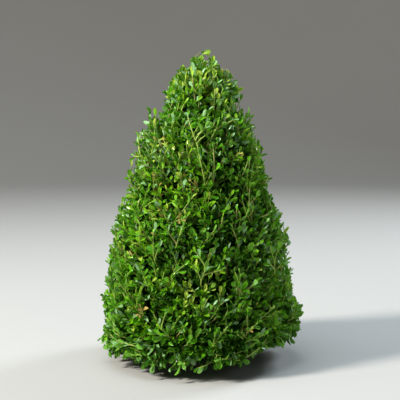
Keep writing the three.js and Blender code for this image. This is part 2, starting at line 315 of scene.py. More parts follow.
YOUNG_STEM, OLD_STEM, TWIG_STEM = range(3)
LEAF_SKINS = {
    "deep": (0.45, 3.0, 0.0),
    "mid": (0.45, 3.0, 0.08),
    "fresh": (0.45, 4.0, 0.2),
    "bright": (0.45, 4.0, 0.25),
    "new": (0.45, 5.0, 0.25),
    # The pale kind is a painted sheen: a pale bluish colour that stands in for the sky's reflection on glossy
    # leaves
    "pale": (0.4, 3.5, 0.1),
    "dry": (0.8, 0.0, 0.0),
    # The shade kind is painted shade: a dark colour for the inner leaves, in place of the shade inside the
    # crown
    "shade": (0.6, 0.0, 0.0),
}
UNDERSIDE_SKIN = (0.6, 0.0, 0.1)
LEAF_KINDS = tuple(LEAF_SKINS)
MID, NEW, PALE_SHEEN, DRY, SHADE = (LEAF_KINDS.index(kind) for kind in ("mid", "new", "pale", "dry", "shade"))

# Outlines of a leaf: stations along it, with its half width there. A form is an outline with its fold, droop
# and twist: first the slim forms, then the broad ones, and last the plain one for inside the crown.

SLIM = ((0.18, 0.21), (0.42, 0.38), (0.64, 0.42), (0.84, 0.33), (0.95, 0.17))
BROAD = ((0.16, 0.22), (0.4, 0.45), (0.64, 0.54), (0.84, 0.45), (0.96, 0.23))
INNER = ((0.3, 0.42), (0.75, 0.44))
LEAF_FORMS = (
    (SLIM, 0.28, 0.1, 0.0),
    (SLIM, -0.2, 0.16, 0.25),
    (BROAD, 0.42, 0.22, -0.3),
    (BROAD, 0.05, -0.06, 0.45),
    (INNER, 0.2, 0.1, 0.0),
)
SLIM_FORMS = 2
INNER_FORM = 4
LEAF_THICKNESS = 0.024
TWIST_ABOUT = 0.3


# What a user would change


def metres(name, description, default, least=0.0):
    """A length"""
    return FloatProperty(name=name, description=description, default=default, min=least, unit="LENGTH",
                         subtype="DISTANCE")


def tint(name, description, default):
    """A colour"""
    return FloatVectorProperty(name=name, description=description, default=default, size=3, min=0, max=1,
                               subtype="COLOR")


def watts(name, description, default):
    """A lamp's power"""
    return FloatProperty(name=name, description=description, default=default, min=0, unit="POWER")


class TopiaryShape(PropertyGroup):
    """The clipped outline and the trunk, as the solids have them"""

    height: metres("Height", "From the ground to the top leaves", 0.602, 0.2)
    widest_radius: metres("Widest radius", "Radius just above the hem", 0.19, 0.05)
    widest_height: metres("Widest height", "Height of the widest place", 0.06, 0.03)
    fullness: FloatProperty(name="Fullness", description="How late the sides draw in", default=1.6,
                            min=1, max=4)
    bluntness: FloatProperty(name="Bluntness", description="The smaller, the rounder the top", default=0.58,
                             min=0.3, max=1)
    hem_height: metres("Hem height", "Height of the lowest shoots", 0.022)
    hem_radius: metres("Hem radius", "Where the underside turns up into the side", 0.16, 0.05)
    underside_radius: metres("Underside radius", "How far in the leafy underside reaches", 0.104, 0.02)
    top_lean: FloatProperty(name="Top lean", description="How far the leader's top stands to the right",
                            default=0.007, unit="LENGTH", subtype="DISTANCE")
    trunk_radius: metres("Trunk radius", "Radius of the trunk above its root flare", 0.0125, 0.004)
    trunk_top: metres("Trunk top", "Height of the trunk's tip", 0.462, 0.1)


class TopiaryGrowth(PropertyGroup):
    """How the crown branches and how large its leaves are"""

    sprays: IntProperty(name="Sprays", description="Branches that leave the limbs", default=134, min=20)
    shoots: IntProperty(name="Shoots", description="Leafy shoots over the whole crown", default=2600, min=100)
    clump_reach: metres("Clump reach", "Distance from one lump of tufts to the next", 0.034, 0.01)
    leaf_length: metres("Leaf length", "Length of a full-grown leaf", 0.0195, 0.005)
    leaf_width: metres("Leaf width", "Width of a full-grown leaf", 0.0092, 0.003)
    leaf_spacing: metres("Leaf spacing", "Distance along a shoot from leaf to leaf", 0.0064, 0.002)
    leaf_angle: FloatProperty(name="Leaf angle", description="How far a leaf stands away from its shoot",
                              default=math.radians(42), unit="ROTATION", subtype="ANGLE")
    shoot_radius: metres("Shoot radius", "Radius of a shoot at its foot", 0.0013, 0.0003)
    seed: IntProperty(name="Seed", description="Another seed grows another plant of the kind",
                      default=7, min=0)


class TopiaryFinish(PropertyGroup):
    """Colours of the leaves and the stems"""

    deep: tint("Deep leaf", "Old leaves inside the crown", (0.024, 0.1, 0.003))
    mid: tint("Mid leaf", "Full-grown leaves", (0.052, 0.2, 0.004))
    fresh: tint("Fresh leaf", "Leaves of the year", (0.085, 0.3, 0.004))
    bright: tint("Bright leaf", "Young leaves near the shoot tips", (0.15, 0.37, 0.008))
    new: tint("New leaf", "The newest, yellow-green leaves", (0.31, 0.455, 0.045))
    # Painted sheen: a pale bluish leaf colour that stands in for the sky's reflection on glossy leaves
    pale: tint("Pale leaf", "Leaves with a bluish bloom", (0.22, 0.42, 0.17))
    dry: tint("Dry leaf", "The few dead leaves", (0.43, 0.32, 0.09))
    # Painted shade: the dark colour of the inner leaves, in place of the shade inside the crown
    shade: tint("Shaded leaf", "Dark old leaves on the inner twigs", (0.018, 0.07, 0.004))
    underside: tint("Underside", "The paler lower side of the leaves", (0.13, 0.32, 0.035))
    young_stem: tint("Young stem", "Shoots of the year", (0.3, 0.42, 0.06))
    old_stem: tint("Old stem", "Shoots of the year before", (0.3, 0.29, 0.08))
    twig: tint("Twig", "Twigs inside the crown", (0.1, 0.075, 0.05))
    bark: tint("Bark", "Trunk and boughs", (0.16, 0.125, 0.09))


class TopiaryStudio(PropertyGroup):
    """The floor, the lamps and the camera"""

    floor_colour: tint("Floor", "Colour of the floor", (0.42, 0.415, 0.4))
    key_power: watts("Key lamp", "Large soft lamp at the upper left", 400)
    fill_power: watts("Fill lamp", "Lamp at the upper right", 6)
    top_power: watts("Top lamp", "Lamp above the plant", 80)
    rim_power: watts("Rim lamp", "Cool lamp behind the plant at the right", 85)
    sky: FloatProperty(name="Sky", description="Strength of the even light from all round",
                       default=0.026, min=0)
    distance: metres("Camera distance", "From the camera to the trunk's foot", 1.84, 0.3)
    eye_height: metres("Camera height", "Height of the camera", 0.5, 0.05)


# Sums on rows of points and directions

WAVES = 6
WAVE_LENGTHS = (1.4, 3.0)
WAVES_HEIGHT = 2.4


def unit(vectors):
    """Vectors brought to a length of one"""
    return vectors / np.maximum(np.linalg.norm(vectors, axis=-1, keepdims=True), TINY)


def dot(a, b):
    return np.sum(a * b, axis=-1)


def along_skin(vectors, out):
    """What is left of the vectors across the outward direction"""
    return vectors - out * dot(vectors, out)[:, None]


def swung(ahead, aside, angle):
    """Directions turned from one towards the other"""
    return ahead * np.cos(angle)[:, None] + aside * np.sin(angle)[:, None]


def bell(distance, spread, power=2):
    """1 at no distance, a third at the spread and soon nothing beyond it"""
    return np.exp(-((distance / spread) ** power))


def by_height(points, rule):
    """A value that changes with height, told by heights and by its values there"""
    return np.interp(points[:, 2], *rule)


def on_turn(flat, turn):
    """A radius and a height, turned round the axis"""
    return np.stack((flat[..., 0] * np.cos(turn), flat[..., 0] * np.sin(turn), flat[..., 1]), axis=-1)


def drift(points, reach, seed):
    """A smooth value, mostly between -1 and 1, that changes over the given reach, as a sum of waves"""
    random = np.random.default_rng(seed)
    ways = unit(random.normal(size=(WAVES, 3)))
    ways = ways * (FULL_TURN / (reach * random.uniform(*WAVE_LENGTHS, (WAVES, 1))))
    return np.sin(points @ ways.T + random.uniform(0, FULL_TURN, WAVES)).sum(axis=-1) / WAVES_HEIGHT


# The crown, round and upright


class Crown:
    """The clipped outline, where each mass of the crown lies in it, and how the plant departs from it"""

    HEM_STEPS = 8
    SIDE_STEPS = 60
    UNDERSIDE_RISE = 0.014

    def __init__(self, shape):
        self.shape = shape
        self.masses = [Mass(tier, i) for tier in TIERS for i in range(tier.limbs)]
        self.profile = self.outline_points()
        steps = np.diff(self.profile, axis=0)
        rings = math.pi * (self.profile[1:, 0] + self.profile[:-1, 0]) * np.linalg.norm(steps, axis=1)
        self.area = np.concatenate(((0.0,), np.cumsum(rings)))

    def side_radius(self, z):
        s = self.shape
        climb = np.clip((z - s.widest_height) / (s.height - s.widest_height), 0, 1)
        radius = s.widest_radius * (1 - climb**s.fullness) ** s.bluntness
        for height, depth, spread in CREASES:
            radius = radius - depth * bell(z - height, spread)
        return np.maximum(radius, 0)

    def outline_radius(self, z):
        s = self.shape
        fall = np.clip((s.widest_height - z) / (s.widest_height - s.hem_height), 0, 1)
        hem = s.hem_radius + (self.side_radius(s.widest_height) - s.hem_radius) * np.sqrt(1 - fall * fall)
        return np.where(z >= s.widest_height, self.side_radius(z), hem)

    def outline_points(self):
        s = self.shape
        quarter = math.pi / 2
        hem_share = np.arange(self.HEM_STEPS) / self.HEM_STEPS
        hem = s.widest_height - (s.widest_height - s.hem_height) * np.cos(hem_share * quarter)
        side_share = np.arange(self.SIDE_STEPS + 1) / self.SIDE_STEPS
        side = s.widest_height + (s.height - s.widest_height) * np.sin(side_share * quarter)
        heights = np.concatenate((hem, side))
        underside = ((s.underside_radius, s.hem_height + self.UNDERSIDE_RISE),)
        return np.concatenate((underside, np.stack((self.outline_radius(heights), heights), axis=1)))

    def on_outline(self, share):
        """Points and outward directions where shares of the outline's area lie below"""
        wanted = share * self.area[-1]
        i = np.clip(np.searchsorted(self.area, wanted), 1, len(self.area) - 1)
        low, high = self.profile[i - 1], self.profile[i]
        part = (wanted - self.area[i - 1]) / (self.area[i] - self.area[i - 1])
        along = unit(high - low)
        return low + (high - low) * part[:, None], np.stack((along[:, 1], -along[:, 0]), axis=1)

    def mass_at(self, points):
        """The number of the mass in which each point lies"""
        radius = np.hypot(points[:, 0], points[:, 1])
        turn = np.arctan2(points[:, 1], points[:, 0])
        found = np.zeros(len(points), int)
        first = 0
        for tier in TIERS:
            sector = np.floor(((turn - tier.turn) % FULL_TURN) / (FULL_TURN / tier.limbs)).astype(int)
            inside = (tier is TIERS[0]) | (points[:, 2] >= tier.floor + tier.slope * radius)
            found = np.where(inside, first + np.clip(sector, 0, tier.limbs - 1), found)
            first += tier.limbs
        return found

    def leader_offset(self, z):
        sway = TRUNK_SWAY * np.sin(z / self.shape.trunk_top * FULL_TURN)
        return np.stack((self.shape.top_lean * (z / self.shape.height) ** 2, sway), axis=-1)

    def settle(self, points):
        """From the round, upright crown to the true place on the plant"""
        x, y, z = points[..., 0], points[..., 1], points[..., 2]
        turn = np.arctan2(y, x)
        lump = SHOULDER_BULGE["share"] * bell(z - SHOULDER_BULGE["height"], SHOULDER_BULGE["spread"])
        lump = lump * np.cos(turn - SHOULDER_BULGE["turn"])
        for ripple in RIPPLES:
            wave = np.sin(ripple["lobes"] * turn + z * ripple["twist"] + ripple["phase"])
            lump = lump + ripple["share"] * wave
        for mark in SHEAR_MARKS:
            apart = np.abs((turn - mark.turn + math.pi) % FULL_TURN - math.pi)
            there = np.exp(-((apart / mark.wide) ** 4) - ((z - mark.height) / mark.high) ** 4)
            lump = lump + mark.out / self.shape.widest_radius * there
        lift = HEM_LIFT["rise"] * bell(turn - HEM_LIFT["turn"], HEM_LIFT["spread"], 4)
        lift = lift * np.exp(-np.maximum(z, 0) / HEM_LIFT["fade"]) * np.clip(z / HEM_LIFT["start"], 0, 1)
        drop = PEAK["drop"] * bell(np.hypot(x, y) - PEAK["ring"], PEAK["spread"])
        placed = points.copy()
        placed[..., :2] = points[..., :2] * (1 + lump)[..., None] + self.leader_offset(z)
        placed[..., 2] += lift
        placed[..., 2] -= drop * np.clip((z - PEAK["above"]) / PEAK["fade"], 0, 1)
        return placed

    def near(self, points, place):
        """How near each point is to a place on the outline, from 0 far off to 1 there"""
        apart = points - on_turn(np.array((self.outline_radius(place.height), place.height)), place.turn)
        return np.exp(-dot(apart, apart) / place.reach**2)


# Curves of the limbs, branches, twigs and shoots


class Curves:
    """Bezier curves in rows, which leave a root along one direction and reach a tip along another"""

    def __init__(self, root, heading, tip, arrival, leave_share, arrive_share):
        reach = np.linalg.norm(tip - root, axis=1, keepdims=True)
        leave = root + heading * reach * leave_share
        self.points = np.stack((root, leave, tip - arrival * reach * arrive_share, tip), axis=1)

    def at(self, row, share):
        """Places on the curves of these rows at shares of their length"""
        p = self.points[row]
        t = np.asarray(share)[..., None]
        parts = ((1 - t) ** 3, 3 * t * (1 - t) ** 2, 3 * t * t * (1 - t), t**3)
        return sum(part * p[..., i, :] for i, part in enumerate(parts))

    def heading(self, row, share):
        p = self.points[row]
        t = np.asarray(share)[..., None]
        steps = [p[..., i + 1, :] - p[..., i, :] for i in range(3)]
        return unit((1 - t) ** 2 * steps[0] + 2 * t * (1 - t) * steps[1] + t * t * steps[2])

    def seat(self, row, share):
        """A place on a curve, and which way the curve runs there"""
        return self.at(row, share), self.heading(row, share)


class Growth:
    """The whole plant as curves: limbs, the branches on them, the twigs on those, and the leafy shoots"""

    # How a curve leaves its root and reaches its tip, as shares of the way between them
    LIMB_BEND = (0.35, 0.3)
    BRANCH_BEND = (0.4, 0.35)
    TWIG_BEND = (0.35, 0.3)
    PRONG_BEND = (0.3, 0.35)
    SHOOT_BEND = (0.3, 0.45)
    RUNNER_BEND = (0.4, 0.5)
    FORK_ARRIVAL = 0.75

    # How much each turns upwards from the way out of the crown, at which heights
    LIMB_RISE = 0.25
    BRANCH_RISE = ((0.03, 0.12), (0.1, 1.4))
    TWIG_RISE = ((0.03, 0.13), (0.0, 1.1))
    SHOOT_RISE = ((0.024, 0.06, 0.13), (-0.7, 0.1, 1.45))

    # Where each leaves what carries it: the farther aside it ends, the nearer to the root
    LEAST_SLANT = 0.35
    BRANCH_BACK = 0.9
    BRANCH_SEATS = (0.15, 0.98)
    TWIG_BACK = 0.8
    TWIG_SEATS = (0.4, 0.97)
    SHOOT_SEATS = (0.55, 1.0)

    # The tufts: how deep they sit, deeper between clumps and in chance gaps, and how they differ in age
    SHOOTS_IN_A_TUFT = 4
    SCATTER = 0.004
    OTHER_MASS = 10
    TUFT_DEPTH = 0.0075
    TUFT_DEPTH_CHANCE = (-0.004, 0.0045)
    CLUMP_DEPTH = 0.0066
    GAP_DEPTH = 0.018
    GAP_REACH = 0.045
    GAP_ABOVE = 0.7
    BRANCH_AGE = 0.42
    TUFT_AGE = 0.5
    TWIG_TURN = 1.0
    TWIG_PULL_CHANCE = 0.3
    TWIG_CHANCE = 0.25
    TWIG_FOOT_IN = 0.03
    TWIG_FOOT_BACK = 0.016

    # The shoots: how they rise and lean, by slow drifts over the crown and by chance, and how a tuft fans out
    PULL_REACH = 0.06
    PULL_DRIFT = 0.5
    PULL_CHANCE = 0.4
    PULLS = (-0.7, 2.6)
    LEAN_REACH = 0.05
    LEAN_DRIFT = 0.45
    LEAN_CHANCE = 0.45
    TUFT_REACH = 0.018
    FAN = 0.5
    FAN_MOST = 1.2
    FAN_DEPTH = 0.003
    FAN_DEPTH_MOST = 1.5
    DEPTH_CHANCE = (-0.003, 0.004)
    DEPTH_AT_TOP = ((0.5, 0.58), (1.0, 0.3))
    LEAVING_OUT = 0.6
    LEAFY = 0.85

    # The runners: long shoots that follow the skin upwards
    RUNNING_TUFTS = 0.26
    RUNNERS_IN_A_TUFT = 0.5
    RUNNER_REACH = 0.042
    RUNNER_RISE = 0.8
    RUNNER_RISES = (0.3, 3)
    RUNNER_LEAN = 2.3
    RUNNER_OUT = 0.25
    RUNNER_DEPTHS = (-0.001, 0.003)

    # How far leaves may stray out of the skin, farther where the shoot ends shallow
    STRAY = 0.0035
    STRAY_CHANCE = (-0.0015, 0.002)
    STRAY_ABOVE = 0.012
    STRAY_MOST = 0.01
    STRAY_SHARE = 0.3
    STRAY_AT_TOP = ((0.53, 0.58), (1.0, 0.3))

    # Sprigs and forks
    SHOOTS_IN_A_SPRIG = 3
    SPRIG_HEIGHTS = (-0.008, 0.008)
    SPRIG_TURNS = (-0.06, 0.06)
    SPRIG_CHANCE = 0.25
    SPRIG_SHARES = (0.5, 1.0)
    SPRIG_STRAY = 0.01
    SPRIG_FOOT = 0.02
    SLOPE_STEP = 0.004
    FORK_LOWEST = 0.1
    FORK_SPAN = 0.38
    FORKS_LOW = 1.2
    FORK_TURN = 0.6
    FORK_LEANS = (0.1, 0.7)
    FORK_LENGTHS = (0.8, 1.25)
    FORK_FOOT = 0.8
    FORK_OUT = 0.12
    FORK_BEYOND = 0.004
    FORK_STRAY = 0.011
    FORK_LEAFY = 0.4
    PRONG_AT = 0.5
    PRONG_STEP = 0.14
    PRONG_CHANCE = (-0.03, 0.03)
    PRONG_RANGE = (0.7, 1.3)
    PRONG_OUT = 0.2
    PRONG_BEYOND = 0.005
    PRONG_STRAY = 0.01
    PRONG_LEAFY = 0.6
    YOUNG_RUNNERS = 0.75
    YOUNG_SHOOTS = 0.6

    # What is known of every shoot
    FACTS = ("on_skin", "out", "shoot_tip", "shoot_heading", "stray", "runner", "leafy", "fork", "withered",
             "shoot_tuft")
    ADDED = {"runner": True, "fork": False, "withered": False}

    def __init__(self, crown, growth):
        self.crown = crown
        self.growth = growth
        self.random = np.random.default_rng(growth.seed)
        self.grow_limbs()
        self.grow_branches()
        self.grow_twigs()
        self.place_shoots()
        self.grow_shoots()

    def grow_limbs(self):
        rows = []
        for mass in self.crown.masses:
            root = np.array((0.0, 0.0, mass.tier.limb_at))
            if mass.tier.limbs == 1:
                heading, length = UP, KNOB_STEM
            else:
                heading = unit(np.array((math.cos(mass.turn), math.sin(mass.turn), LIMB_SLOPE)))
                length = LIMB_REACH * float(self.crown.outline_radius(root[2])) * math.hypot(1, LIMB_SLOPE)
            rows.append((root, heading, root + heading * length))
        root, heading, tip = (np.array(column) for column in zip(*rows))
        self.limbs = Curves(root, heading, tip, unit(heading + UP * self.LIMB_RISE), *self.LIMB_BEND)

    def over_the_outline(self, share, first_turn):
        """Places dealt over the outline by a golden turn, each with its outward direction"""
        flat, flat_normal = self.crown.on_outline(share)
        turn = np.arange(len(share)) * GOLDEN_TURN + first_turn
        return on_turn(flat, turn), on_turn(flat_normal, turn)

    def grow_branches(self):
        """A branch from its limb to each place where the solids have a spray"""
        count = self.growth.sprays
        self.spray_tip, normal = self.over_the_outline(np.arange(count) / (count - 1), 0.0)
        heading = unit(normal + UP * by_height(self.spray_tip, self.BRANCH_RISE)[:, None])
        slant = 1 / np.maximum(dot(heading, normal), self.LEAST_SLANT)
        end = self.spray_tip - heading * ((CORE_DEPTH + TWIG_SUNK) * slant)[:, None]
        self.spray_mass = self.crown.mass_at(self.spray_tip - normal * CORE_DEPTH)
        root = self.limbs.points[self.spray_mass, 0]
        line = self.limbs.points[self.spray_mass, 3] - root
        length = np.linalg.norm(line, axis=1)
        line = line / length[:, None]
        forward = dot(end - root, line)
        aside = np.linalg.norm(end - root - line * forward[:, None], axis=1)
        self.branch_share = np.clip((forward - self.BRANCH_BACK * aside) / length, *self.BRANCH_SEATS)
        seat = self.limbs.seat(self.spray_mass, self.branch_share)
        self.branches = Curves(*seat, end, heading, *self.BRANCH_BEND)

    def grow_twigs(self):
        """Between the sprays, a twig from the nearest branch of its mass to the foot of every tuft"""
        g, random = self.growth, self.random
        count = round(g.shoots / self.SHOOTS_IN_A_TUFT)
        spot, out = self.over_the_outline((np.arange(count) + 0.5) / count, self.TWIG_TURN)
        spot = spot + random.normal(0, self.SCATTER, (count, 3))
        mass = self.crown.mass_at(spot - out * CORE_DEPTH)
        apart = np.linalg.norm(spot[:, None, :] - self.spray_tip[None, :, :], axis=2)
        apart[mass[:, None] != self.spray_mass[None, :]] += self.OTHER_MASS
        spray = np.argmin(apart, axis=1)
        self.tuft_spot, self.tuft_mass = spot, self.spray_mass[spray]
        depth = self.TUFT_DEPTH - self.CLUMP_DEPTH * drift(spot, g.clump_reach, g.seed)
        gap = drift(spot, self.GAP_REACH, g.seed + 3) - self.GAP_ABOVE
        depth = depth + self.GAP_DEPTH * np.clip(gap, 0, 1)
        self.tuft_depth = depth + random.uniform(*self.TUFT_DEPTH_CHANCE, count)
        self.running = random.random(count) < self.RUNNING_TUFTS
        branch_age = random.normal(0, self.BRANCH_AGE, g.sprays)
        self.tuft_age = branch_age[spray] + random.normal(0, self.TUFT_AGE, count)
        pull = by_height(spot, self.TWIG_RISE) + random.normal(0, self.TWIG_PULL_CHANCE, count)
        heading = unit(out + UP * pull[:, None] + random.normal(0, self.TWIG_CHANCE, (count, 3)))
        foot = spot - out * self.TWIG_FOOT_IN - heading * self.TWIG_FOOT_BACK
        root, tip = self.branches.points[spray, 0], self.branches.points[spray, 3]
        aside = np.linalg.norm(foot - tip, axis=1)
        share = np.clip(1 - self.TWIG_BACK * aside / np.linalg.norm(tip - root, axis=1), *self.TWIG_SEATS)
        self.twigs = Curves(*self.branches.seat(spray, share), foot, heading, *self.TWIG_BEND)

    def place_shoots(self):
        """Deals the shoot tips over the outline, finer, and gives each to a tuft"""
        g, random = self.growth, self.random
        count = g.shoots
        spot, out = self.over_the_outline((np.arange(count) + 0.5) / count, 0.0)
        side = unit(np.stack((-out[:, 1], out[:, 0], np.zeros(count)), axis=1))
        rise = np.cross(out, side)
        spot = spot + side * random.normal(0, self.SCATTER, (count, 1))
        spot = spot + rise * random.normal(0, self.SCATTER, (count, 1))
        pull = by_height(spot, self.SHOOT_RISE) + self.PULL_DRIFT * drift(spot, self.PULL_REACH, g.seed + 1)
        pull = pull + random.normal(0, self.PULL_CHANCE, count)
        lean = self.LEAN_DRIFT * drift(spot, self.LEAN_REACH, g.seed + 2)
        lean = lean + random.normal(0, self.LEAN_CHANCE, count)
        self.shoot_tuft = self.nearest_tuft(spot)
        self.runner = self.running[self.shoot_tuft] & (random.random(count) < self.RUNNERS_IN_A_TUFT)
        run = UP * np.clip(pull + self.RUNNER_RISE, *self.RUNNER_RISES)[:, None]
        run = unit(along_skin(unit(run + side * self.RUNNER_LEAN * lean[:, None]), out))
        self.shoot_tuft[self.runner] = self.nearest_tuft(spot - run * self.RUNNER_REACH)[self.runner]
        fan = along_skin((spot - self.tuft_spot[self.shoot_tuft]) / self.TUFT_REACH, out)
        fan = np.clip(fan, -self.FAN_MOST, self.FAN_MOST)
        heading = out + UP * np.clip(pull, *self.PULLS)[:, None] + side * lean[:, None] + self.FAN * fan
        self.shoot_heading = np.where(self.runner[:, None], unit(run + out * self.RUNNER_OUT), unit(heading))
        depth = self.tuft_depth[self.shoot_tuft] * by_height(spot, self.DEPTH_AT_TOP)
        depth = depth + random.uniform(*self.DEPTH_CHANCE, count)
        depth = depth + self.FAN_DEPTH * np.minimum(np.linalg.norm(fan, axis=1), self.FAN_DEPTH_MOST)
        depth = np.where(self.runner, random.uniform(*self.RUNNER_DEPTHS, count), np.maximum(depth, 0))
        for hollow in HOLLOWS:
            depth = depth + hollow.depth * self.crown.near(spot, hollow)
        self.shoot_tip = spot - out * depth[:, None]
        stray = self.STRAY + np.clip(self.STRAY_ABOVE - depth, 0, self.STRAY_MOST) * self.STRAY_SHARE
        self.stray = (stray + random.uniform(*self.STRAY_CHANCE, count)) * by_height(spot, self.STRAY_AT_TOP)
        self.on_skin, self.out = spot, out
        self.leafy = np.full(count, self.LEAFY)
        self.fork = np.zeros(count, bool)
        self.withered = np.zeros(count, bool)
        self.add_sprigs()
        self.add_forks()

    def nearest_tuft(self, places):
        return np.argmin(np.linalg.norm(places[:, None, :] - self.tuft_spot[None, :, :], axis=2), axis=1)

    def add(self, count, **told):
        """More shoots, with the same facts as those before them"""
        told = {**self.ADDED, **told}
        for fact in self.FACTS:
            before = getattr(self, fact)
            more = np.broadcast_to(np.asarray(told[fact], before.dtype), (count, *before.shape[1:]))
            setattr(self, fact, np.concatenate((before, more)))

    def add_sprigs(self):
        """The few sprigs that stand out of the clipped cone, and the tufts that have withered"""
        random, count = self.random, self.SHOOTS_IN_A_SPRIG
        for sprig in (*SPRIGS, *WITHERED_TUFTS):
            height = sprig.height + random.uniform(*self.SPRIG_HEIGHTS, count)
            turn = sprig.turn + random.uniform(*self.SPRIG_TURNS, count)
            out = on_turn(np.tile((1.0, 0.0), (count, 1)), turn)
            spot = on_turn(np.stack((self.crown.outline_radius(height), height), axis=1), turn)
            beyond = sprig.beyond * random.uniform(*self.SPRIG_SHARES, count)
            heading = unit(out + UP * sprig.rise + random.normal(0, self.SPRIG_CHANCE, (count, 3)))
            self.add(count, on_skin=spot, out=out, shoot_tip=spot + heading * beyond[:, None],
                     shoot_heading=heading, stray=sprig.beyond + self.SPRIG_STRAY, leafy=self.LEAFY,
                     withered=sprig in WITHERED_TUFTS,
                     shoot_tuft=self.nearest_tuft(spot - heading * self.SPRIG_FOOT))

    def skin_at(self, height, turn):
        """Places on the outline, and there the directions outwards, to the right and up along the skin"""
        radius, step = self.crown.outline_radius, self.SLOPE_STEP
        slope = (radius(height + step) - radius(height - step)) / (2 * step)
        out = unit(on_turn(np.stack((np.ones(len(turn)), -slope), axis=1), turn))
        side = np.stack((-np.sin(turn), np.cos(turn), np.zeros(len(turn))), axis=1)
        return on_turn(np.stack((radius(height), height), axis=1), turn), out, side, np.cross(out, side)

    def chance_forks(self):
        """Forks all round the crown"""
        random, count = self.random, CHANCE_FORKS
        height = self.FORK_LOWEST + self.FORK_SPAN * random.random(count) ** self.FORKS_LOW
        turn = np.arange(count) * GOLDEN_TURN + self.FORK_TURN
        lean = random.choice((-1, 1), count) * random.uniform(*self.FORK_LEANS, count)
        length = FORK_LENGTH * random.uniform(*self.FORK_LENGTHS, count)
        return [Fork(turn[i], height[i], lean[i], length[i], self.chance_prongs(lean[i]))
                for i in range(count)]

    def chance_prongs(self, lean):
        """Prongs to the left and right by turns"""
        random = self.random
        first = random.choice((-1, 1))
        return [(self.PRONG_AT + self.PRONG_STEP * i + random.uniform(*self.PRONG_CHANCE),
                 lean + first * (-1) ** i * PRONG_ASIDE * random.uniform(*self.PRONG_RANGE),
                 PRONG_LENGTH * random.uniform(*self.PRONG_RANGE))
                for i in range(PRONGS_ON_A_FORK)]

    def add_forks(self):
        """The stems of the forks: those that come by chance, then those that show in front"""
        forks = (*self.chance_forks(), *FRONT_FORKS)
        self.prongs = [fork.prongs for fork in forks]
        height, turn, lean, length = (
            np.array([getattr(fork, label) for fork in forks])
            for label in ("height", "turn", "lean", "length"))
        spot, out, side, rise = self.skin_at(height, turn)
        run = swung(rise, side, lean)
        self.first_fork = len(self.shoot_tip)
        self.add(len(forks), on_skin=spot, out=out, shoot_tip=spot + out * self.FORK_BEYOND,
                 shoot_heading=unit(run + out * self.FORK_OUT), stray=self.FORK_STRAY, leafy=self.FORK_LEAFY,
                 fork=True, shoot_tuft=self.nearest_tuft(spot - run * length[:, None] * self.FORK_FOOT))

    def add_prongs(self):
        """The side shoots of the forks, which follow the skin too"""
        rows = np.array([self.first_fork + i for i, prongs in enumerate(self.prongs) for _ in prongs])
        share, lean, length = np.array([prong for prongs in self.prongs for prong in prongs]).T
        root, stem = self.shoots.seat(rows, share)
        _, out, side, rise = self.skin_at(root[:, 2], np.arctan2(root[:, 1], root[:, 0]))
        run = swung(rise, side, lean)
        tip = root + run * length[:, None]
        skin = self.crown.outline_radius(tip[:, 2]) + self.PRONG_BEYOND
        tip[:, :2] *= (skin / np.hypot(tip[:, 0], tip[:, 1]))[:, None]
        heading = unit(run + out * self.PRONG_OUT)
        prongs = Curves(root, unit(2 * run + stem), tip, heading, *self.PRONG_BEND)
        self.shoots.points = np.concatenate((self.shoots.points, prongs.points))
        self.add(len(rows), on_skin=tip, out=out, shoot_tip=tip, shoot_heading=heading,
                 stray=self.PRONG_STRAY, leafy=self.PRONG_LEAFY, shoot_tuft=self.shoot_tuft[rows])

    def grow_shoots(self):
        seat = self.random.uniform(*self.SHOOT_SEATS, len(self.shoot_tip))
        root, twig = self.twigs.seat(self.shoot_tuft, seat)
        leave, arrive = np.where(self.runner[:, None], self.RUNNER_BEND, self.SHOOT_BEND).T
        arrive = np.where(self.fork, self.FORK_ARRIVAL, arrive)
        leaving = unit(twig + self.out * self.LEAVING_OUT)
        self.shoots = Curves(root, leaving, self.shoot_tip, self.shoot_heading,
                             leave[:, None], arrive[:, None])
        self.add_prongs()
        self.shoot_mass = self.tuft_mass[self.shoot_tuft]
        young_share = np.where(self.runner, self.YOUNG_RUNNERS, self.YOUNG_SHOOTS)
        young = self.random.random(len(self.shoot_tip)) < young_share
        self.shoot_kind = np.where(young, YOUNG_STEM, OLD_STEM)


def grown(context):
    """The plant as the present settings grow it"""
    scene = context.scene
    return Growth(Crown(scene.topiary_shape), scene.topiary_growth)


# Nodes for materials and for geometry


class NodeMaker:
    """Adds nodes to a tree: first the type, then its settings, then the values or links of its sockets"""

    def __init__(self, tree):
        self.tree = tree

    def node(self, kind, settings=None, sockets=None):
        made = self.tree.nodes.new(kind)
        for name, value in (settings or {}).items():
            if name == "stops":
                self.set_stops(made.color_ramp, value)
            else:
                setattr(made, name, value)
        for name, value in (sockets or {}).items():
            self.feed(made.inputs[name], value)
        return made

    def wire(self, kind, settings=None, sockets=None, output=0):
        """A new node's output"""
        return Wire(self, self.node(kind, settings, sockets).outputs[output])

    @staticmethod
    def set_stops(ramp, stops):
        while len(ramp.elements) < len(stops):
            ramp.elements.new(1.0)
        for element, (place, colour) in zip(ramp.elements, stops):
            element.position = place
            element.color = (*colour, 1.0)

    def feed(self, socket, value):
        if isinstance(value, Wire):
            self.tree.links.new(value.socket, socket)
        else:
            socket.default_value = value


class Wire:
    """A socket's value, so that sums on it read as plain sums"""

    def __init__(self, maker, socket):
        self.maker = maker
        self.socket = socket

    def maths(self, operation, first, second):
        return self.maker.wire("ShaderNodeMath", {"operation": operation}, {0: first, 1: second})

    def __add__(self, other):
        return self.maths("ADD", self, other)

    def __mul__(self, other):
        return self.maths("MULTIPLY", self, other)

    def __sub__(self, other):
        return self.maths("SUBTRACT", self, other)

    def __rsub__(self, other):
        return self.maths("SUBTRACT", other, self)

    __radd__ = __add__
    __rmul__ = __mul__


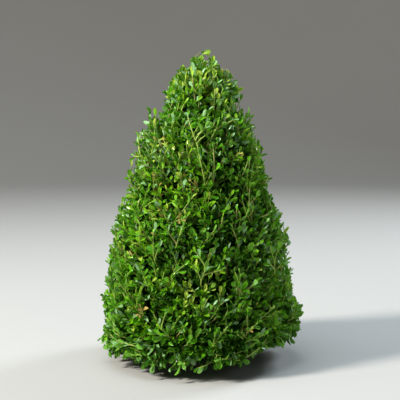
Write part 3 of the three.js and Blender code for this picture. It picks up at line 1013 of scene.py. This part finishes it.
class Paint(NodeMaker):
    """A new material with its main shader, and the patterns that its finishes share"""

    def __init__(self, name):
        self.material = bpy.data.materials.new(name)
        self.material.use_nodes = True
        super().__init__(self.material.node_tree)
        self.tree.nodes.clear()
        self.place = Wire(self, self.node("ShaderNodeTexCoord").outputs["Object"])

    def noise(self, scale, detail=2.0, distortion=0.0, place=None):
        sockets = {"Vector": place or self.place, "Scale": scale, "Detail": detail, "Distortion": distortion}
        return self.wire("ShaderNodeTexNoise", sockets=sockets)

    def bump(self, height, distance, strength):
        sockets = {"Height": height, "Distance": distance, "Strength": strength}
        return self.wire("ShaderNodeBump", sockets=sockets)

    def finish(self, sockets):
        shader = self.wire("ShaderNodeBsdfPrincipled", sockets=sockets)
        self.node("ShaderNodeOutputMaterial", sockets={"Surface": shader})
        return self.material


class Recipe(NodeMaker):
    """A Geometry Nodes tree with named inputs, which turns a mesh of points or lines into a piece"""

    def __init__(self, name):
        super().__init__(bpy.data.node_groups.new(name, "GeometryNodeTree"))
        for way in ("INPUT", "OUTPUT"):
            self.tree.interface.new_socket("Geometry", in_out=way, socket_type="NodeSocketGeometry")
        self.source = self.node("NodeGroupInput")
        self.start = Wire(self, self.source.outputs["Geometry"])
        self.ids = {}

    def ask(self, name, kind):
        """A named input"""
        item = self.tree.interface.new_socket(name, in_out="INPUT", socket_type=f"NodeSocket{kind}")
        self.ids[name] = item.identifier
        return Wire(self, self.source.outputs[name])

    def attribute(self, name, kind):
        return self.wire("GeometryNodeInputNamedAttribute", {"data_type": kind}, {"Name": name})

    def then(self, kind, geometry, **sockets):
        """The geometry after one more node"""
        return self.wire(f"GeometryNode{kind}", sockets={"Geometry": geometry, **sockets})

    def paint(self, geometry, attribute, materials, first=0):
        """Gives each face the material that has its number"""
        number_of = self.attribute(attribute, "INT")
        for number, material in enumerate(materials, first):
            chosen = self.wire("FunctionNodeCompare", {"data_type": "INT", "operation": "EQUAL"},
                               {2: number_of, 3: number})
            geometry = self.then("SetMaterial", geometry, Selection=chosen, Material=material)
        return geometry

    def end(self, geometry):
        self.node("NodeGroupOutput", sockets={0: geometry})
        return self

    def make(self, piece_name, mesh, values):
        """Runs the recipe on a mesh and returns the piece as a plain mesh object"""
        piece = put(piece_name, mesh)
        modifier = piece.modifiers.new("recipe", "NODES")
        modifier.node_group = self.tree
        for name, value in values.items():
            modifier[self.ids[name]] = value
        evaluated = piece.evaluated_get(bpy.context.evaluated_depsgraph_get())
        plain = bpy.data.meshes.new_from_object(evaluated)
        piece.modifiers.remove(modifier)
        piece.data = plain
        plain.name = piece_name
        return piece


# Objects and meshes


def put(name, data):
    """A new object in the scene"""
    thing = bpy.data.objects.new(name, data)
    bpy.context.scene.collection.objects.link(thing)
    return thing


def finished(piece, nodes):
    """Seats a finished piece on the plant's body, in place of the nodes that it stands for"""
    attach(piece, "root")
    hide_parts(*nodes)


def mesh_of(name, vertices, edges=(), faces=(), attributes=None):
    """A mesh with values on its points: whole numbers, numbers or vectors"""
    mesh = bpy.data.meshes.new(name)
    mesh.from_pydata(np.asarray(vertices).tolist(), np.asarray(edges).tolist(), faces)
    for label, values in (attributes or {}).items():
        values = np.asarray(values)
        whole = values.dtype.kind == "i"
        kind = "FLOAT_VECTOR" if values.ndim == 2 else "INT" if whole else "FLOAT"
        layer = mesh.attributes.new(label, kind, "POINT")
        field = "vector" if values.ndim == 2 else "value"
        layer.data.foreach_set(field, values.astype(np.int32 if whole else np.float32).ravel())
    return mesh


def shade_smooth(mesh):
    mesh.polygons.foreach_set("use_smooth", np.ones(len(mesh.polygons), bool))


def ring_faces(rings, sides):
    """The quads between rings of points that lie one above the other"""
    faces = []
    for low in range(0, (rings - 1) * sides, sides):
        for i in range(sides):
            j = (i + 1) % sides
            faces.append((low + i, low + j, low + sides + j, low + sides + i))
    return faces


def lines_mesh(name, sets, settle):
    """Open lines in one mesh

    Each set has its curves, the rows of them that are wanted, how many points each line gets, how thick it
    is at its root and at its tip, and its kind.
    """
    points, edges, widths, kinds = [], [], [], []
    before = 0
    for curves, rows, steps, thick, thin, kind in sets:
        count = len(rows)
        share = np.linspace(0, 1, steps)
        points.append(settle(curves.at(np.asarray(rows)[:, None], np.tile(share, (count, 1)))).reshape(-1, 3))
        thick, thin = (np.broadcast_to(value, count)[:, None] for value in (thick, thin))
        widths.append((thick + (thin - thick) * share).ravel())
        kinds.append(np.repeat(np.broadcast_to(kind, count), steps))
        first = (before + np.arange(count) * steps)[:, None] + np.arange(steps - 1)
        edges.append(np.stack((first.ravel(), first.ravel() + 1), axis=1))
        before += count * steps
    attributes = {"thickness": np.concatenate(widths), "kind": np.concatenate(kinds).astype(int)}
    return mesh_of(name, np.concatenate(points), np.concatenate(edges), (), attributes)


def leaf_form(name, stations, fold, droop, twist):
    """A leaf one unit long and wide along +X, its upper side towards +Z, closed by its paler underside"""
    vertices = [(0, 0, 0)]
    for along, half in stations:
        for across in (half, 0.0, -half):
            rise = fold * abs(across)
            roll = twist * (along - TWIST_ABOUT) * across
            vertices.append((along, across, -droop * along * along + rise + roll))
    vertices.append((1, 0, -droop))
    tip = len(vertices) - 1
    vertices.extend((along, 0, -droop * along * along - LEAF_THICKNESS) for along, _ in stations)

    def side(first_middle, step):
        rows = [(1 + 3 * i, first_middle + step * i, 3 + 3 * i) for i in range(len(stations))]
        faces = [(0, rows[0][1], rows[0][0]), (0, rows[0][2], rows[0][1])]
        for a, b in zip(rows, rows[1:]):
            faces += ((a[0], a[1], b[1], b[0]), (a[1], a[2], b[2], b[1]))
        return faces + [(rows[-1][0], rows[-1][1], tip), (rows[-1][1], rows[-1][2], tip)]

    upper = side(2, 3)
    lower = [face[::-1] for face in side(tip + 1, 1)]
    mesh = mesh_of(name, vertices, (), upper + lower)
    underside = mesh.attributes.new("underside", "INT", "FACE")
    underside.data.foreach_set("value", np.repeat((0, 1), len(upper)).astype(np.int32))
    rim = {i for i in range(tip + 1) if i % 3 != 2}
    for edge in mesh.edges:
        edge.use_edge_sharp = edge.vertices[0] in rim and edge.vertices[1] in rim
    return mesh


def leaf_forms():
    """A hidden collection of leaves that differ a little in fold, droop and twist"""
    hidden = bpy.data.collections.new("leaf_forms")
    for i, form in enumerate(LEAF_FORMS):
        name = f"leaf_form_{i}"
        hidden.objects.link(bpy.data.objects.new(name, leaf_form(name, *form)))
    return hidden


# Finishes


def leaf_finish(name, colour, roughness, coat, glow):
    """Leathery leaf: a plain colour, patchy gloss, a fine pebbled skin, and some light let through"""
    paint = Paint(name)
    patches = paint.noise(scale=140)
    skin = paint.noise(scale=900)
    shine = patches * patches
    sockets = {
        "Base Color": (*colour, 1),
        "Roughness": roughness - 0.1 + 0.2 * patches,
        "Specular IOR Level": 0.06,
        "Coat Roughness": 0.15,
        "Normal": paint.bump(skin * 0.35 + patches, distance=0.0006, strength=0.35),
    }
    if coat:
        sockets["Coat Weight"] = shine * shine * coat
    if glow:
        sockets["Subsurface Weight"] = glow
        sockets["Subsurface Radius"] = (0.4, 1.0, 0.06)
        sockets["Subsurface Scale"] = 0.002
    return paint.finish(sockets)


def stem_finish(name, colour, roughness):
    """Smooth young bark with a fine grain"""
    paint = Paint(name)
    grain = paint.noise(scale=700, detail=3.0, distortion=0.4)
    return paint.finish({
        "Base Color": (*colour, 1),
        "Roughness": roughness - 0.1 + 0.2 * grain,
        "Normal": paint.bump(grain, distance=0.0004, strength=0.5),
    })


def bark_finish(name, colour):
    """Grey-brown bark with pale scales and dark cracks"""
    paint = Paint(name)
    drawn_out = (1, 1, 0.22)
    stretch = paint.wire("ShaderNodeMapping", sockets={"Vector": paint.place, "Scale": drawn_out})
    plates = paint.noise(scale=260, detail=4.0, distortion=0.6, place=stretch)
    specks = paint.noise(scale=900)
    tones = {0.3: 0.35, 0.5: 0.9, 0.72: 1.5}
    stops = [(place, tuple(part * shade for part in colour)) for place, shade in tones.items()]
    blend = plates * 0.8 + specks * 0.2
    return paint.finish({
        "Base Color": paint.wire("ShaderNodeValToRGB", {"stops": stops}, {"Fac": blend}),
        "Roughness": 0.75 + 0.2 * specks,
        "Normal": paint.bump(plates + specks * 0.3, distance=0.0015, strength=0.7),
    })


# The makers of the pieces


class TOPIARY_OT_trunk(Operator):
    """Turns the trunk with its root flare and the relief of its bark"""

    bl_idname = "topiary.trunk"
    bl_label = "Trunk"

    SIDES = 64
    ROWS = 150
    LOW_ROWS = 1.3
    FLARE_RADIUS = 0.025
    FLARE_HEIGHT = 0.011
    FLARE_LOBES = 5
    FLARE_LOBE_SHARE = 0.16
    TIP_RADIUS = 0.004
    RELIEF = 0.0006
    LEAST_RELIEF = 0.3

    def execute(self, context):
        shape = context.scene.topiary_shape
        z = shape.trunk_top * np.linspace(0, 1, self.ROWS) ** self.LOW_ROWS
        turn = np.linspace(0, FULL_TURN, self.SIDES, endpoint=False)
        height, around = np.meshgrid(z, turn, indexing="ij")
        flare = np.exp(-height / self.FLARE_HEIGHT)
        taper = shape.trunk_radius + (self.TIP_RADIUS - shape.trunk_radius) * height / shape.trunk_top
        radius = taper + (self.FLARE_RADIUS - shape.trunk_radius) * flare
        radius = radius * (1 + self.FLARE_LOBE_SHARE * flare * np.cos(self.FLARE_LOBES * around))
        shown = np.clip(taper / shape.trunk_radius, self.LEAST_RELIEF, 1)
        radius = radius + self.relief(height, around) * shown
        grid = on_turn(np.stack((radius, height), axis=-1), around)
        offset = Crown(shape).leader_offset(height)
        grid[..., :2] += offset
        vertices = np.concatenate((grid.reshape(-1, 3), ((0, 0, 0), (*offset[-1, 0], shape.trunk_top))))
        mesh = mesh_of("trunk_bark", vertices, (), self.faces())
        shade_smooth(mesh)
        mesh.materials.append(bark_finish("bark", context.scene.topiary_finish.bark))
        finished(put("trunk_bark", mesh), ("trunk",))
        return {"FINISHED"}

    def relief(self, height, around):
        """Shallow ridges that wander up the trunk, with rings where old twigs were cut off

        The numbers of the waves only have to be out of step with each other.
        """
        wander = 0.5 * np.sin(height * 41) + 0.3 * np.sin(height * 97 + 1.7)
        ridges = np.abs(np.sin(around * 6 + wander * 3))
        ridges = ridges + 0.5 * np.abs(np.sin(around * 11 - wander * 5 + height * 60))
        rings = np.exp(-((np.sin(height * 70 + 2 * np.sin(around * 2)) - 1) ** 2) * 18)
        uneven = 0.5 + 0.5 * np.cos(around * 3 + height * 120)
        return self.RELIEF * (ridges - 0.7) + self.RELIEF * rings * uneven

    def faces(self):
        """The bark's quads, closed by a fan under the foot and one on the tip"""
        bottom = self.ROWS * self.SIDES
        top, last = bottom + 1, bottom - self.SIDES
        faces = ring_faces(self.ROWS, self.SIDES)
        for i in range(self.SIDES):
            j = (i + 1) % self.SIDES
            faces += ((bottom, j, i), (top, last + i, last + j))
        return faces


def stem_recipe():
    """Lines to round stems, thick and thin by their own attribute, painted by their kind"""
    recipe = Recipe("stems")
    sides = recipe.ask("Sides", "Int")
    knots = recipe.ask("Knottiness", "Float")
    materials = [recipe.ask(name, "Material") for name in ("Young stem", "Old stem", "Twig")]
    curve = recipe.wire("GeometryNodeMeshToCurve", sockets={"Mesh": recipe.start})
    circle = recipe.wire("GeometryNodeCurvePrimitiveCircle", sockets={"Resolution": sides, "Radius": 1.0})
    thickness = recipe.attribute("thickness", "FLOAT")
    mesh = recipe.wire("GeometryNodeCurveToMesh", sockets={
        "Curve": curve, "Profile Curve": circle, "Scale": thickness, "Fill Caps": True})
    swelling = recipe.wire("ShaderNodeTexNoise", sockets={"Scale": 160.0, "Detail": 1.0}) * 2.0 - 1.0
    normal = recipe.wire("GeometryNodeInputNormal")
    push = recipe.wire("ShaderNodeVectorMath", {"operation": "SCALE"},
                       {0: normal, "Scale": swelling * knots * thickness})
    mesh = recipe.then("SetPosition", mesh, Offset=push)
    mesh = recipe.then("RealizeInstances", recipe.then("SetShadeSmooth", mesh))
    return recipe.end(recipe.paint(mesh, "kind", materials))


class TOPIARY_OT_boughs(Operator):
    """Grows the limbs from the trunk and the branches from the limbs"""

    bl_idname = "topiary.boughs"
    bl_label = "Boughs"

    LIMB_STEPS = 16
    LIMB_TIP = 0.3
    LIMB_TAPER = 0.7
    BRANCH_STEPS = 10
    BRANCH_RADIUS = 0.0026
    BRANCH_SHARE = 0.8
    BRANCH_TIP = 0.0013

    def execute(self, context):
        plant = grown(context)
        masses = plant.crown.masses
        limb = np.array([mass.tier.limb_radius for mass in masses])
        there = limb[plant.spray_mass] * (1 - self.LIMB_TAPER * plant.branch_share)
        branch = np.minimum(self.BRANCH_RADIUS, there * self.BRANCH_SHARE)
        lines = lines_mesh("boughs", (
            (plant.limbs, range(len(limb)), self.LIMB_STEPS, limb, limb * self.LIMB_TIP, TWIG_STEM),
            (plant.branches, range(len(branch)), self.BRANCH_STEPS, branch, self.BRANCH_TIP, TWIG_STEM),
        ), plant.crown.settle)
        bark = bark_finish("bough_bark", context.scene.topiary_finish.bark)
        values = {"Sides": 8, "Knottiness": 0.16, "Young stem": bark, "Old stem": bark, "Twig": bark}
        piece = stem_recipe().make("boughs", lines, values)
        finished(piece, [f"foliage_{mass.name}" for mass in masses])
        return {"FINISHED"}


class TOPIARY_OT_twigs(Operator):
    """Grows the twigs and the shoots of each mass"""

    bl_idname = "topiary.twigs"
    bl_label = "Twigs and shoots"

    STEPS = 7
    TWIG_RADIUS = 0.0015
    TWIG_TIP = 0.0011
    RUNNER_SHARES = (1.12, 0.75)
    SHOOT_SHARES = (1.0, 0.45)

    def execute(self, context):
        plant = grown(context)
        growth, finish = context.scene.topiary_growth, context.scene.topiary_finish
        recipe = stem_recipe()
        values = {
            "Sides": 4,
            "Knottiness": 0.1,
            "Young stem": stem_finish("young_stem", finish.young_stem, 0.5),
            "Old stem": stem_finish("old_stem", finish.old_stem, 0.65),
            "Twig": stem_finish("twig", finish.twig, 0.8),
        }
        shares = np.where(plant.runner[:, None], self.RUNNER_SHARES, self.SHOOT_SHARES)
        thick, thin = growth.shoot_radius * shares.T
        for number, mass in enumerate(plant.crown.masses):
            twigs = np.flatnonzero(plant.tuft_mass == number)
            shoots = np.flatnonzero(plant.shoot_mass == number)
            lines = lines_mesh("twigs", (
                (plant.twigs, twigs, self.STEPS, self.TWIG_RADIUS, self.TWIG_TIP, TWIG_STEM),
                (plant.shoots, shoots, self.STEPS, thick[shoots], thin[shoots], plant.shoot_kind[shoots]),
            ), plant.crown.settle)
            piece = recipe.make(f"twigs_{mass.name}", lines, values)
            finished(piece, (f"foliage_{mass.name}",))
        return {"FINISHED"}


class TOPIARY_OT_leaves(Operator):
    """Sets the leaves round every shoot, deals out their colours and clips what strays from the cone"""

    bl_idname = "topiary.leaves"
    bl_label = "Leaves"

    # How leaves stand along and round a shoot. The first ones at its tip close up and are smaller.
    FEWEST_LEAVES = 4
    MOST_LEAVES = 12
    RUNNER_SPACING = 1.35
    ALONG_CHANCE = 0.02
    NEAREST_FOOT = 0.08
    LEAF_TURN = math.radians(137.5)
    TURN_CHANCE = 0.2
    ANGLE_CHANCE = 0.16
    TERMINAL = 3
    TERMINAL_ANGLE = 0.35
    TERMINAL_ANGLE_STEP = 0.2
    TERMINAL_SIZE = 0.62
    TERMINAL_SIZE_STEP = 0.12
    TILT_CHANCE = 0.32
    NUDGE = 1e-6
    TILT_TO_LIGHT = 0.3
    LIGHT_OUT = 0.6
    LIGHT_UP = 0.8
    DROOP = ((0.02, 0.07), (0.7, 0.0))

    # Sizes and forms
    LEAF_SIZES = (0.8, 1.22)
    SHOOT_SIZES = (0.8, 1.15)
    SIZE_BY_HEIGHT = ((0.03, 0.1, 0.42, 0.52), (1.2, 1.0, 1.0, 1.15))
    BROAD_BY_HEIGHT = ((0.05, 0.2, 0.35, 0.5, 0.57), (0.8, 0.45, 0.35, 0.2, 0.7))
    DRY_SIZE = 0.75
    WIDTH_VARIATION = 0.14
    LOWEST_TIP = 0.012

    # Youth, from 0 for a deep leaf to 4 for a new one. The heights here are shares of the plant's height.
    YOUTH_AT_FOOT = 0.1
    YOUTH_ALONG = 2.1
    YOUTH_OF_TIP = 0.5
    SHOOT_AGE = 0.35
    LEAF_AGE = 0.45
    # Towards the foot the leaves are made older and darker, as painted shade at the hem; towards the top
    # younger and brighter, partly new growth and partly painted light
    AGE_BY_HEIGHT = ((0.05, 0.12, 0.25, 0.82, 0.93), (-2.4, -1.0, 0.0, 0.0, 3.1))
    # The pale painted sheen falls on more leaves at the hem and at the top
    PALE_BY_HEIGHT = ((0.06, 0.2, 0.6, 0.8), (0.15, 0.09, 0.11, 0.25))
    DRY_SHOOTS = 0.006
    DRY_ON_A_DRY_SHOOT = 0.8
    DRY_LEAVES = 0.004

    # The old leaves inside, darkened by the shade colour as painted shade, except near the top, where they
    # get lighter colours as painted light
    LEAVES_ON_A_TWIG = 13
    LEAVES_ON_A_BRANCH = 30
    LEAVES_ON_A_LIMB = 60
    INNER_SHARES = (0.3, 1.0)
    INNER_ANGLES = (0.7, 1.4)
    INNER_SIZES = (1.1, 1.5)
    INNER_RISE = 0.02
    LIT_ABOVE = 0.49

    def execute(self, context):
        plant = grown(context)
        growth, masses = context.scene.topiary_growth, plant.crown.masses
        random = np.random.default_rng(growth.seed + 1)
        sets = (
            self.on_shoots(plant, growth, random),
            self.inside(plant, plant.twigs, plant.tuft_mass, self.LEAVES_ON_A_TWIG, random),
            self.inside(plant, plant.branches, plant.spray_mass, self.LEAVES_ON_A_BRANCH, random),
            self.inside(plant, plant.limbs, np.arange(len(masses)), self.LEAVES_ON_A_LIMB, random),
        )
        leaves = {label: np.concatenate([part[label] for part in sets]) for label in sets[0]}
        recipe, values = leaf_recipe(), self.values(context)
        for number, mass in enumerate(masses):
            mine = leaves["mass"] == number
            facts = {label: leaves[label][mine] for label in ("heading", "face", "size", "finish", "form")}
            points = mesh_of("leaves", leaves["seat"][mine], (), (), facts)
            finished(recipe.make(f"leaves_{mass.name}", points, values), (f"foliage_{mass.name}",))
        return {"FINISHED"}

    def values(self, context):
        """What the recipe asks for"""
        growth, colours = context.scene.topiary_growth, context.scene.topiary_finish
        values = {
            "Leaf forms": leaf_forms(),
            "Leaf length": growth.leaf_length,
            "Leaf width": growth.leaf_width,
            "Width variation": self.WIDTH_VARIATION,
            "Seed": growth.seed,
            "Underside": leaf_finish("leaf_underside", colours.underside, *UNDERSIDE_SKIN),
        }
        for kind, skin in LEAF_SKINS.items():
            values[f"{kind.capitalize()} leaf"] = leaf_finish(f"leaf_{kind}", getattr(colours, kind), *skin)
        return values

    def spread(self, stem, out, phase, angle, random):
        """Leaves that stand round a stem at an angle, with their upper side towards its tip and the light"""
        side = unit(np.cross(stem, out) + self.NUDGE)
        away = swung(np.cross(side, stem), side, phase)
        heading, face = unit(swung(stem, away, angle)), swung(-away, stem, angle)
        face = face + unit(out * self.LIGHT_OUT + UP * self.LIGHT_UP) * self.TILT_TO_LIGHT
        return heading, unit(face + random.normal(0, self.TILT_CHANCE, face.shape))

    def on_shoots(self, plant, growth, random):
        """Seat, heading, upper side, size and finish of the leaves round every shoot"""
        shoots = len(plant.shoot_tip)
        length = np.linalg.norm(plant.shoot_tip - plant.shoots.points[:, 0], axis=1)
        spacing = growth.leaf_spacing * np.where(plant.runner, self.RUNNER_SPACING, 1.0)
        wanted = np.round(length * plant.leafy / spacing)
        wanted = np.clip(wanted, self.FEWEST_LEAVES, self.MOST_LEAVES).astype(int)
        leafy = np.minimum(length * plant.leafy, spacing * wanted)
        number = np.arange(self.MOST_LEAVES)[None, :]
        share = 1 - (leafy / length)[:, None] * (number / wanted[:, None])
        share = share + random.uniform(-self.ALONG_CHANCE, self.ALONG_CHANCE, share.shape)
        row, rank = np.nonzero(number < wanted[:, None])
        spot = np.clip(share, self.NEAREST_FOOT, 1.0)[row, rank]
        seat, stem = plant.shoots.seat(row, spot)
        phase = rank * self.LEAF_TURN + random.uniform(0, FULL_TURN, shoots)[row]
        phase = phase + random.normal(0, self.TURN_CHANCE, len(row))
        terminal = rank < self.TERMINAL
        angle = growth.leaf_angle + random.normal(0, self.ANGLE_CHANCE, len(row))
        angle = np.where(terminal, angle * (self.TERMINAL_ANGLE + self.TERMINAL_ANGLE_STEP * rank), angle)
        out = plant.out[row]
        heading, face = self.spread(stem, out, phase, angle, random)
        heading = unit(heading - UP * by_height(seat, self.DROOP)[:, None])
        size = random.uniform(*self.LEAF_SIZES, len(row))
        size = size * np.where(terminal, self.TERMINAL_SIZE + self.TERMINAL_SIZE_STEP * rank, 1.0)
        size = size * random.uniform(*self.SHOOT_SIZES, shoots)[row] * by_height(seat, self.SIZE_BY_HEIGHT)
        finish = self.finishes(plant, row, spot, rank, random)
        broad = random.random(len(row)) < by_height(seat, self.BROAD_BY_HEIGHT)
        form = random.integers(0, SLIM_FORMS, len(row)) + np.where(broad, SLIM_FORMS, 0)
        size = np.where(finish == DRY, size * self.DRY_SIZE, size)
        tip = seat + heading * (growth.leaf_length * size)[:, None]
        kept = (dot(tip - plant.on_skin[row], out) <= plant.stray[row]) & (tip[:, 2] > self.LOWEST_TIP)
        facts = {"seat": plant.crown.settle(seat), "heading": heading, "face": face, "size": size,
                 "finish": finish, "form": form, "mass": plant.shoot_mass[row]}
        return {label: values[kept] for label, values in facts.items()}

    def inside(self, plant, stems, masses, count, random):
        """The old leaves inside, which close the crown to the light"""
        row = np.repeat(np.arange(len(masses)), count)
        seat, stem = stems.seat(row, random.uniform(*self.INNER_SHARES, len(row)))
        out = unit(seat * (1, 1, 0) + UP * self.INNER_RISE)
        phase = random.uniform(0, FULL_TURN, len(row))
        heading, face = self.spread(stem, out, phase, random.uniform(*self.INNER_ANGLES, len(row)), random)
        size = random.uniform(*self.INNER_SIZES, len(row))
        # Painted light: above this height the inner leaves take lighter colours; below it the dark shade
        # colour is painted shade
        painted_light_kinds = random.integers(MID, NEW, len(row))
        return {"seat": plant.crown.settle(seat), "heading": heading, "face": face, "size": size,
                "finish": np.where(seat[:, 2] > self.LIT_ABOVE, painted_light_kinds, SHADE),
                "form": np.full(len(row), INNER_FORM), "mass": masses[row]}

    def finishes(self, plant, row, spot, rank, random):
        """From deep green at a shoot's foot to bright at its tip, each tuft a little older or younger, with
        painted shade at the hem, painted light at the top, painted light and shade in patches and a pale
        painted sheen on some leaves
        """
        shoots = len(plant.shoot_tip)
        shoot_age = plant.tuft_age[plant.shoot_tuft] + random.normal(0, self.SHOOT_AGE, shoots)
        level = plant.shoot_tip / plant.crown.shape.height
        # Painted shade at the hem and painted light at the top, added to the age
        shoot_age = shoot_age + by_height(level, self.AGE_BY_HEIGHT)
        sheen_share = by_height(level, self.PALE_BY_HEIGHT)
        # Patches of painted light and shade, partly young growth, and of more leaves with the pale painted
        # sheen
        for place in GROWTH_AND_PAINTED_LIGHT_SPOTS:
            near = plant.crown.near(plant.shoot_tip, place)
            shoot_age = shoot_age + place.youth * near
            sheen_share = sheen_share + place.pale * near
        youth = self.YOUTH_AT_FOOT + self.YOUTH_ALONG * spot + shoot_age[row]
        youth = youth + random.normal(0, self.LEAF_AGE, len(row))
        youth = youth + np.where(rank == 0, self.YOUTH_OF_TIP, 0.0)
        finish = np.clip(np.round(youth), 0, NEW).astype(int)
        # Leaves whose colour is the pale painted sheen
        pale = random.random(len(row)) < sheen_share[row]
        dry_shoots = random.random(shoots) < np.where(plant.withered, 1.0, self.DRY_SHOOTS)
        dry = dry_shoots[row] & (random.random(len(row)) < self.DRY_ON_A_DRY_SHOOT)
        dry = dry | (random.random(len(row)) < self.DRY_LEAVES)
        return np.where(dry, DRY, np.where(pale, PALE_SHEEN, finish))


def leaf_recipe():
    """Points to leaves, with the upper side painted by finish and the underside paler"""
    recipe = Recipe("leaves")
    forms = recipe.ask("Leaf forms", "Collection")
    numbers = ("Leaf length", "Leaf width", "Width variation")
    length, width, vary = (recipe.ask(name, "Float") for name in numbers)
    seed = recipe.ask("Seed", "Int")
    materials = [recipe.ask(f"{kind.capitalize()} leaf", "Material") for kind in LEAF_KINDS]
    below = recipe.ask("Underside", "Material")
    picked = recipe.wire("GeometryNodeCollectionInfo", sockets={
        "Collection": forms, "Separate Children": True, "Reset Children": True})
    heading, face = recipe.attribute("heading", "FLOAT_VECTOR"), recipe.attribute("face", "FLOAT_VECTOR")
    turn = recipe.wire("FunctionNodeAxesToRotation", {"primary_axis": "X", "secondary_axis": "Z"},
                       {0: heading, 1: face})
    chance = recipe.wire("FunctionNodeRandomValue", {"data_type": "FLOAT"}, {2: -1.0, 3: 1.0, "Seed": seed},
                         output=1)
    size = recipe.attribute("size", "FLOAT")
    long, wide = size * length, size * width * (chance * vary + 1.0)
    scale = recipe.wire("ShaderNodeCombineXYZ", sockets={"X": long, "Y": wide, "Z": long})
    mesh = recipe.wire("GeometryNodeInstanceOnPoints", sockets={
        "Points": recipe.start, "Instance": picked, "Pick Instance": True,
        "Instance Index": recipe.attribute("form", "INT"), "Rotation": turn, "Scale": scale})
    mesh = recipe.then("SetShadeSmooth", recipe.then("RealizeInstances", mesh))
    mesh = recipe.paint(mesh, "finish", materials)
    return recipe.end(recipe.paint(mesh, "underside", (below,), first=1))


class TOPIARY_OT_studio(Operator):
    """Sets the pale floor, the soft lamps and the camera at the photograph's angle"""

    bl_idname = "topiary.studio"
    bl_label = "Floor, lamps and camera"

    IMAGE_SIDE = 400
    FOCAL_PIXELS = 944
    HORIZON = 105
    ASIDE = 0.0014
    FILM_WIDTH = 36
    FLOOR_RADIUS = 4.2
    BEND_RADIUS = 3.0
    BEND_STEPS = 13
    FLOOR_SIDES = 96
    FLOOR_ROUGHNESS = 0.9
    LAMPS_AIM = (0, 0, 0.3)
    COOL = (0.82, 0.92, 1.0)
    LAMPS = {
        "key": {"place": (-3.5, -1.75, 3.3), "size": 0.8, "colour": (1.0, 0.96, 0.88)},
        "fill": {"place": (2.3, -2.0, 2.2), "size": 0.7, "colour": (0.9, 0.96, 1.0)},
        "top": {"place": (-0.6, -0.3, 3.2), "size": 2.4, "colour": COOL},
        "rim": {"place": (2.2, 1.7, 2.3), "size": 1.0, "colour": COOL},
    }
    SKY_COLOUR = (0.86, 0.93, 1.0)

    def execute(self, context):
        scene, studio = context.scene, context.scene.topiary_studio
        self.floor(studio)
        for name, lamp in self.LAMPS.items():
            self.lamp(f"{name}_lamp", getattr(studio, f"{name}_power"), **lamp)
        scene.world = self.sky(studio)
        scene.camera = self.camera(studio)
        scene.view_settings.view_transform = "Standard"
        return {"FINISHED"}

    def floor(self, studio):
        """A round floor whose edge curves up into a low backdrop on every side"""
        bend = np.linspace(0, math.pi / 2, self.BEND_STEPS)
        turn = np.linspace(0, FULL_TURN, self.FLOOR_SIDES, endpoint=False)
        bend, turn = np.meshgrid(bend, turn, indexing="ij")
        radius = self.FLOOR_RADIUS + self.BEND_RADIUS * np.sin(bend)
        edge = np.stack((radius, self.BEND_RADIUS * (1 - np.cos(bend))), axis=-1)
        points = on_turn(edge, turn).reshape(-1, 3)
        walls = [face[::-1] for face in ring_faces(self.BEND_STEPS, self.FLOOR_SIDES)]
        mesh = mesh_of("floor", points, (), [tuple(range(self.FLOOR_SIDES)), *walls])
        shade_smooth(mesh)
        sockets = {"Base Color": (*studio.floor_colour, 1), "Roughness": self.FLOOR_ROUGHNESS}
        mesh.materials.append(Paint("floor").finish(sockets))
        put("floor", mesh)

    def lamp(self, name, power, place, size, colour):
        light = bpy.data.lights.new(name, "AREA")
        light.energy = power
        light.size = size
        light.color = colour
        lamp = put(name, light)
        lamp.location = place
        lamp.rotation_euler = (Vector(self.LAMPS_AIM) - Vector(place)).to_track_quat("-Z", "Y").to_euler()

    def sky(self, studio):
        world = bpy.data.worlds.new("sky")
        world.use_nodes = True
        background = world.node_tree.nodes["Background"]
        background.inputs["Color"].default_value = (*self.SKY_COLOUR, 1)
        background.inputs["Strength"].default_value = studio.sky
        return world

    def camera(self, studio):
        data = bpy.data.cameras.new("camera")
        data.sensor_width = self.FILM_WIDTH
        data.lens = self.FOCAL_PIXELS / self.IMAGE_SIDE * data.sensor_width
        camera = put("camera", data)
        camera.location = (self.ASIDE, -studio.distance, studio.eye_height)
        pitch = math.atan((self.IMAGE_SIDE / 2 - self.HORIZON) / self.FOCAL_PIXELS)
        camera.rotation_euler = (math.pi / 2 - pitch, 0, 0)
        return camera


class TOPIARY_PT_panel(Panel):
    """The makers, in the order in which the plant grows"""

    bl_idname = "TOPIARY_PT_panel"
    bl_label = "Clipped Holly Cone"
    bl_space_type = "VIEW_3D"
    bl_region_type = "UI"
    bl_category = "Topiary"

    def draw(self, context):
        for name in SETTINGS:
            group = getattr(context.scene, name)
            box = self.layout.box()
            for setting in group.__annotations__:
                box.prop(group, setting)
        for maker in MAKERS:
            self.layout.operator(maker.bl_idname)


SETTINGS = {
    "topiary_shape": TopiaryShape,
    "topiary_growth": TopiaryGrowth,
    "topiary_finish": TopiaryFinish,
    "topiary_studio": TopiaryStudio,
}
MAKERS = (TOPIARY_OT_trunk, TOPIARY_OT_boughs, TOPIARY_OT_twigs, TOPIARY_OT_leaves, TOPIARY_OT_studio)


def register():
    for group in (*SETTINGS.values(), *MAKERS, TOPIARY_PT_panel):
        bpy.utils.register_class(group)
    for name, group in SETTINGS.items():
        setattr(bpy.types.Scene, name, PointerProperty(type=group))


def unregister():
    for name in SETTINGS:
        delattr(bpy.types.Scene, name)
    for group in (TOPIARY_PT_panel, *reversed(MAKERS), *reversed(SETTINGS.values())):
        bpy.utils.unregister_class(group)


def main():
    register()
    plant = bpy.ops.topiary
    for maker in (plant.trunk, plant.boughs, plant.twigs, plant.leaves, plant.studio):
        maker()


if __name__ == "__main__":
    main()
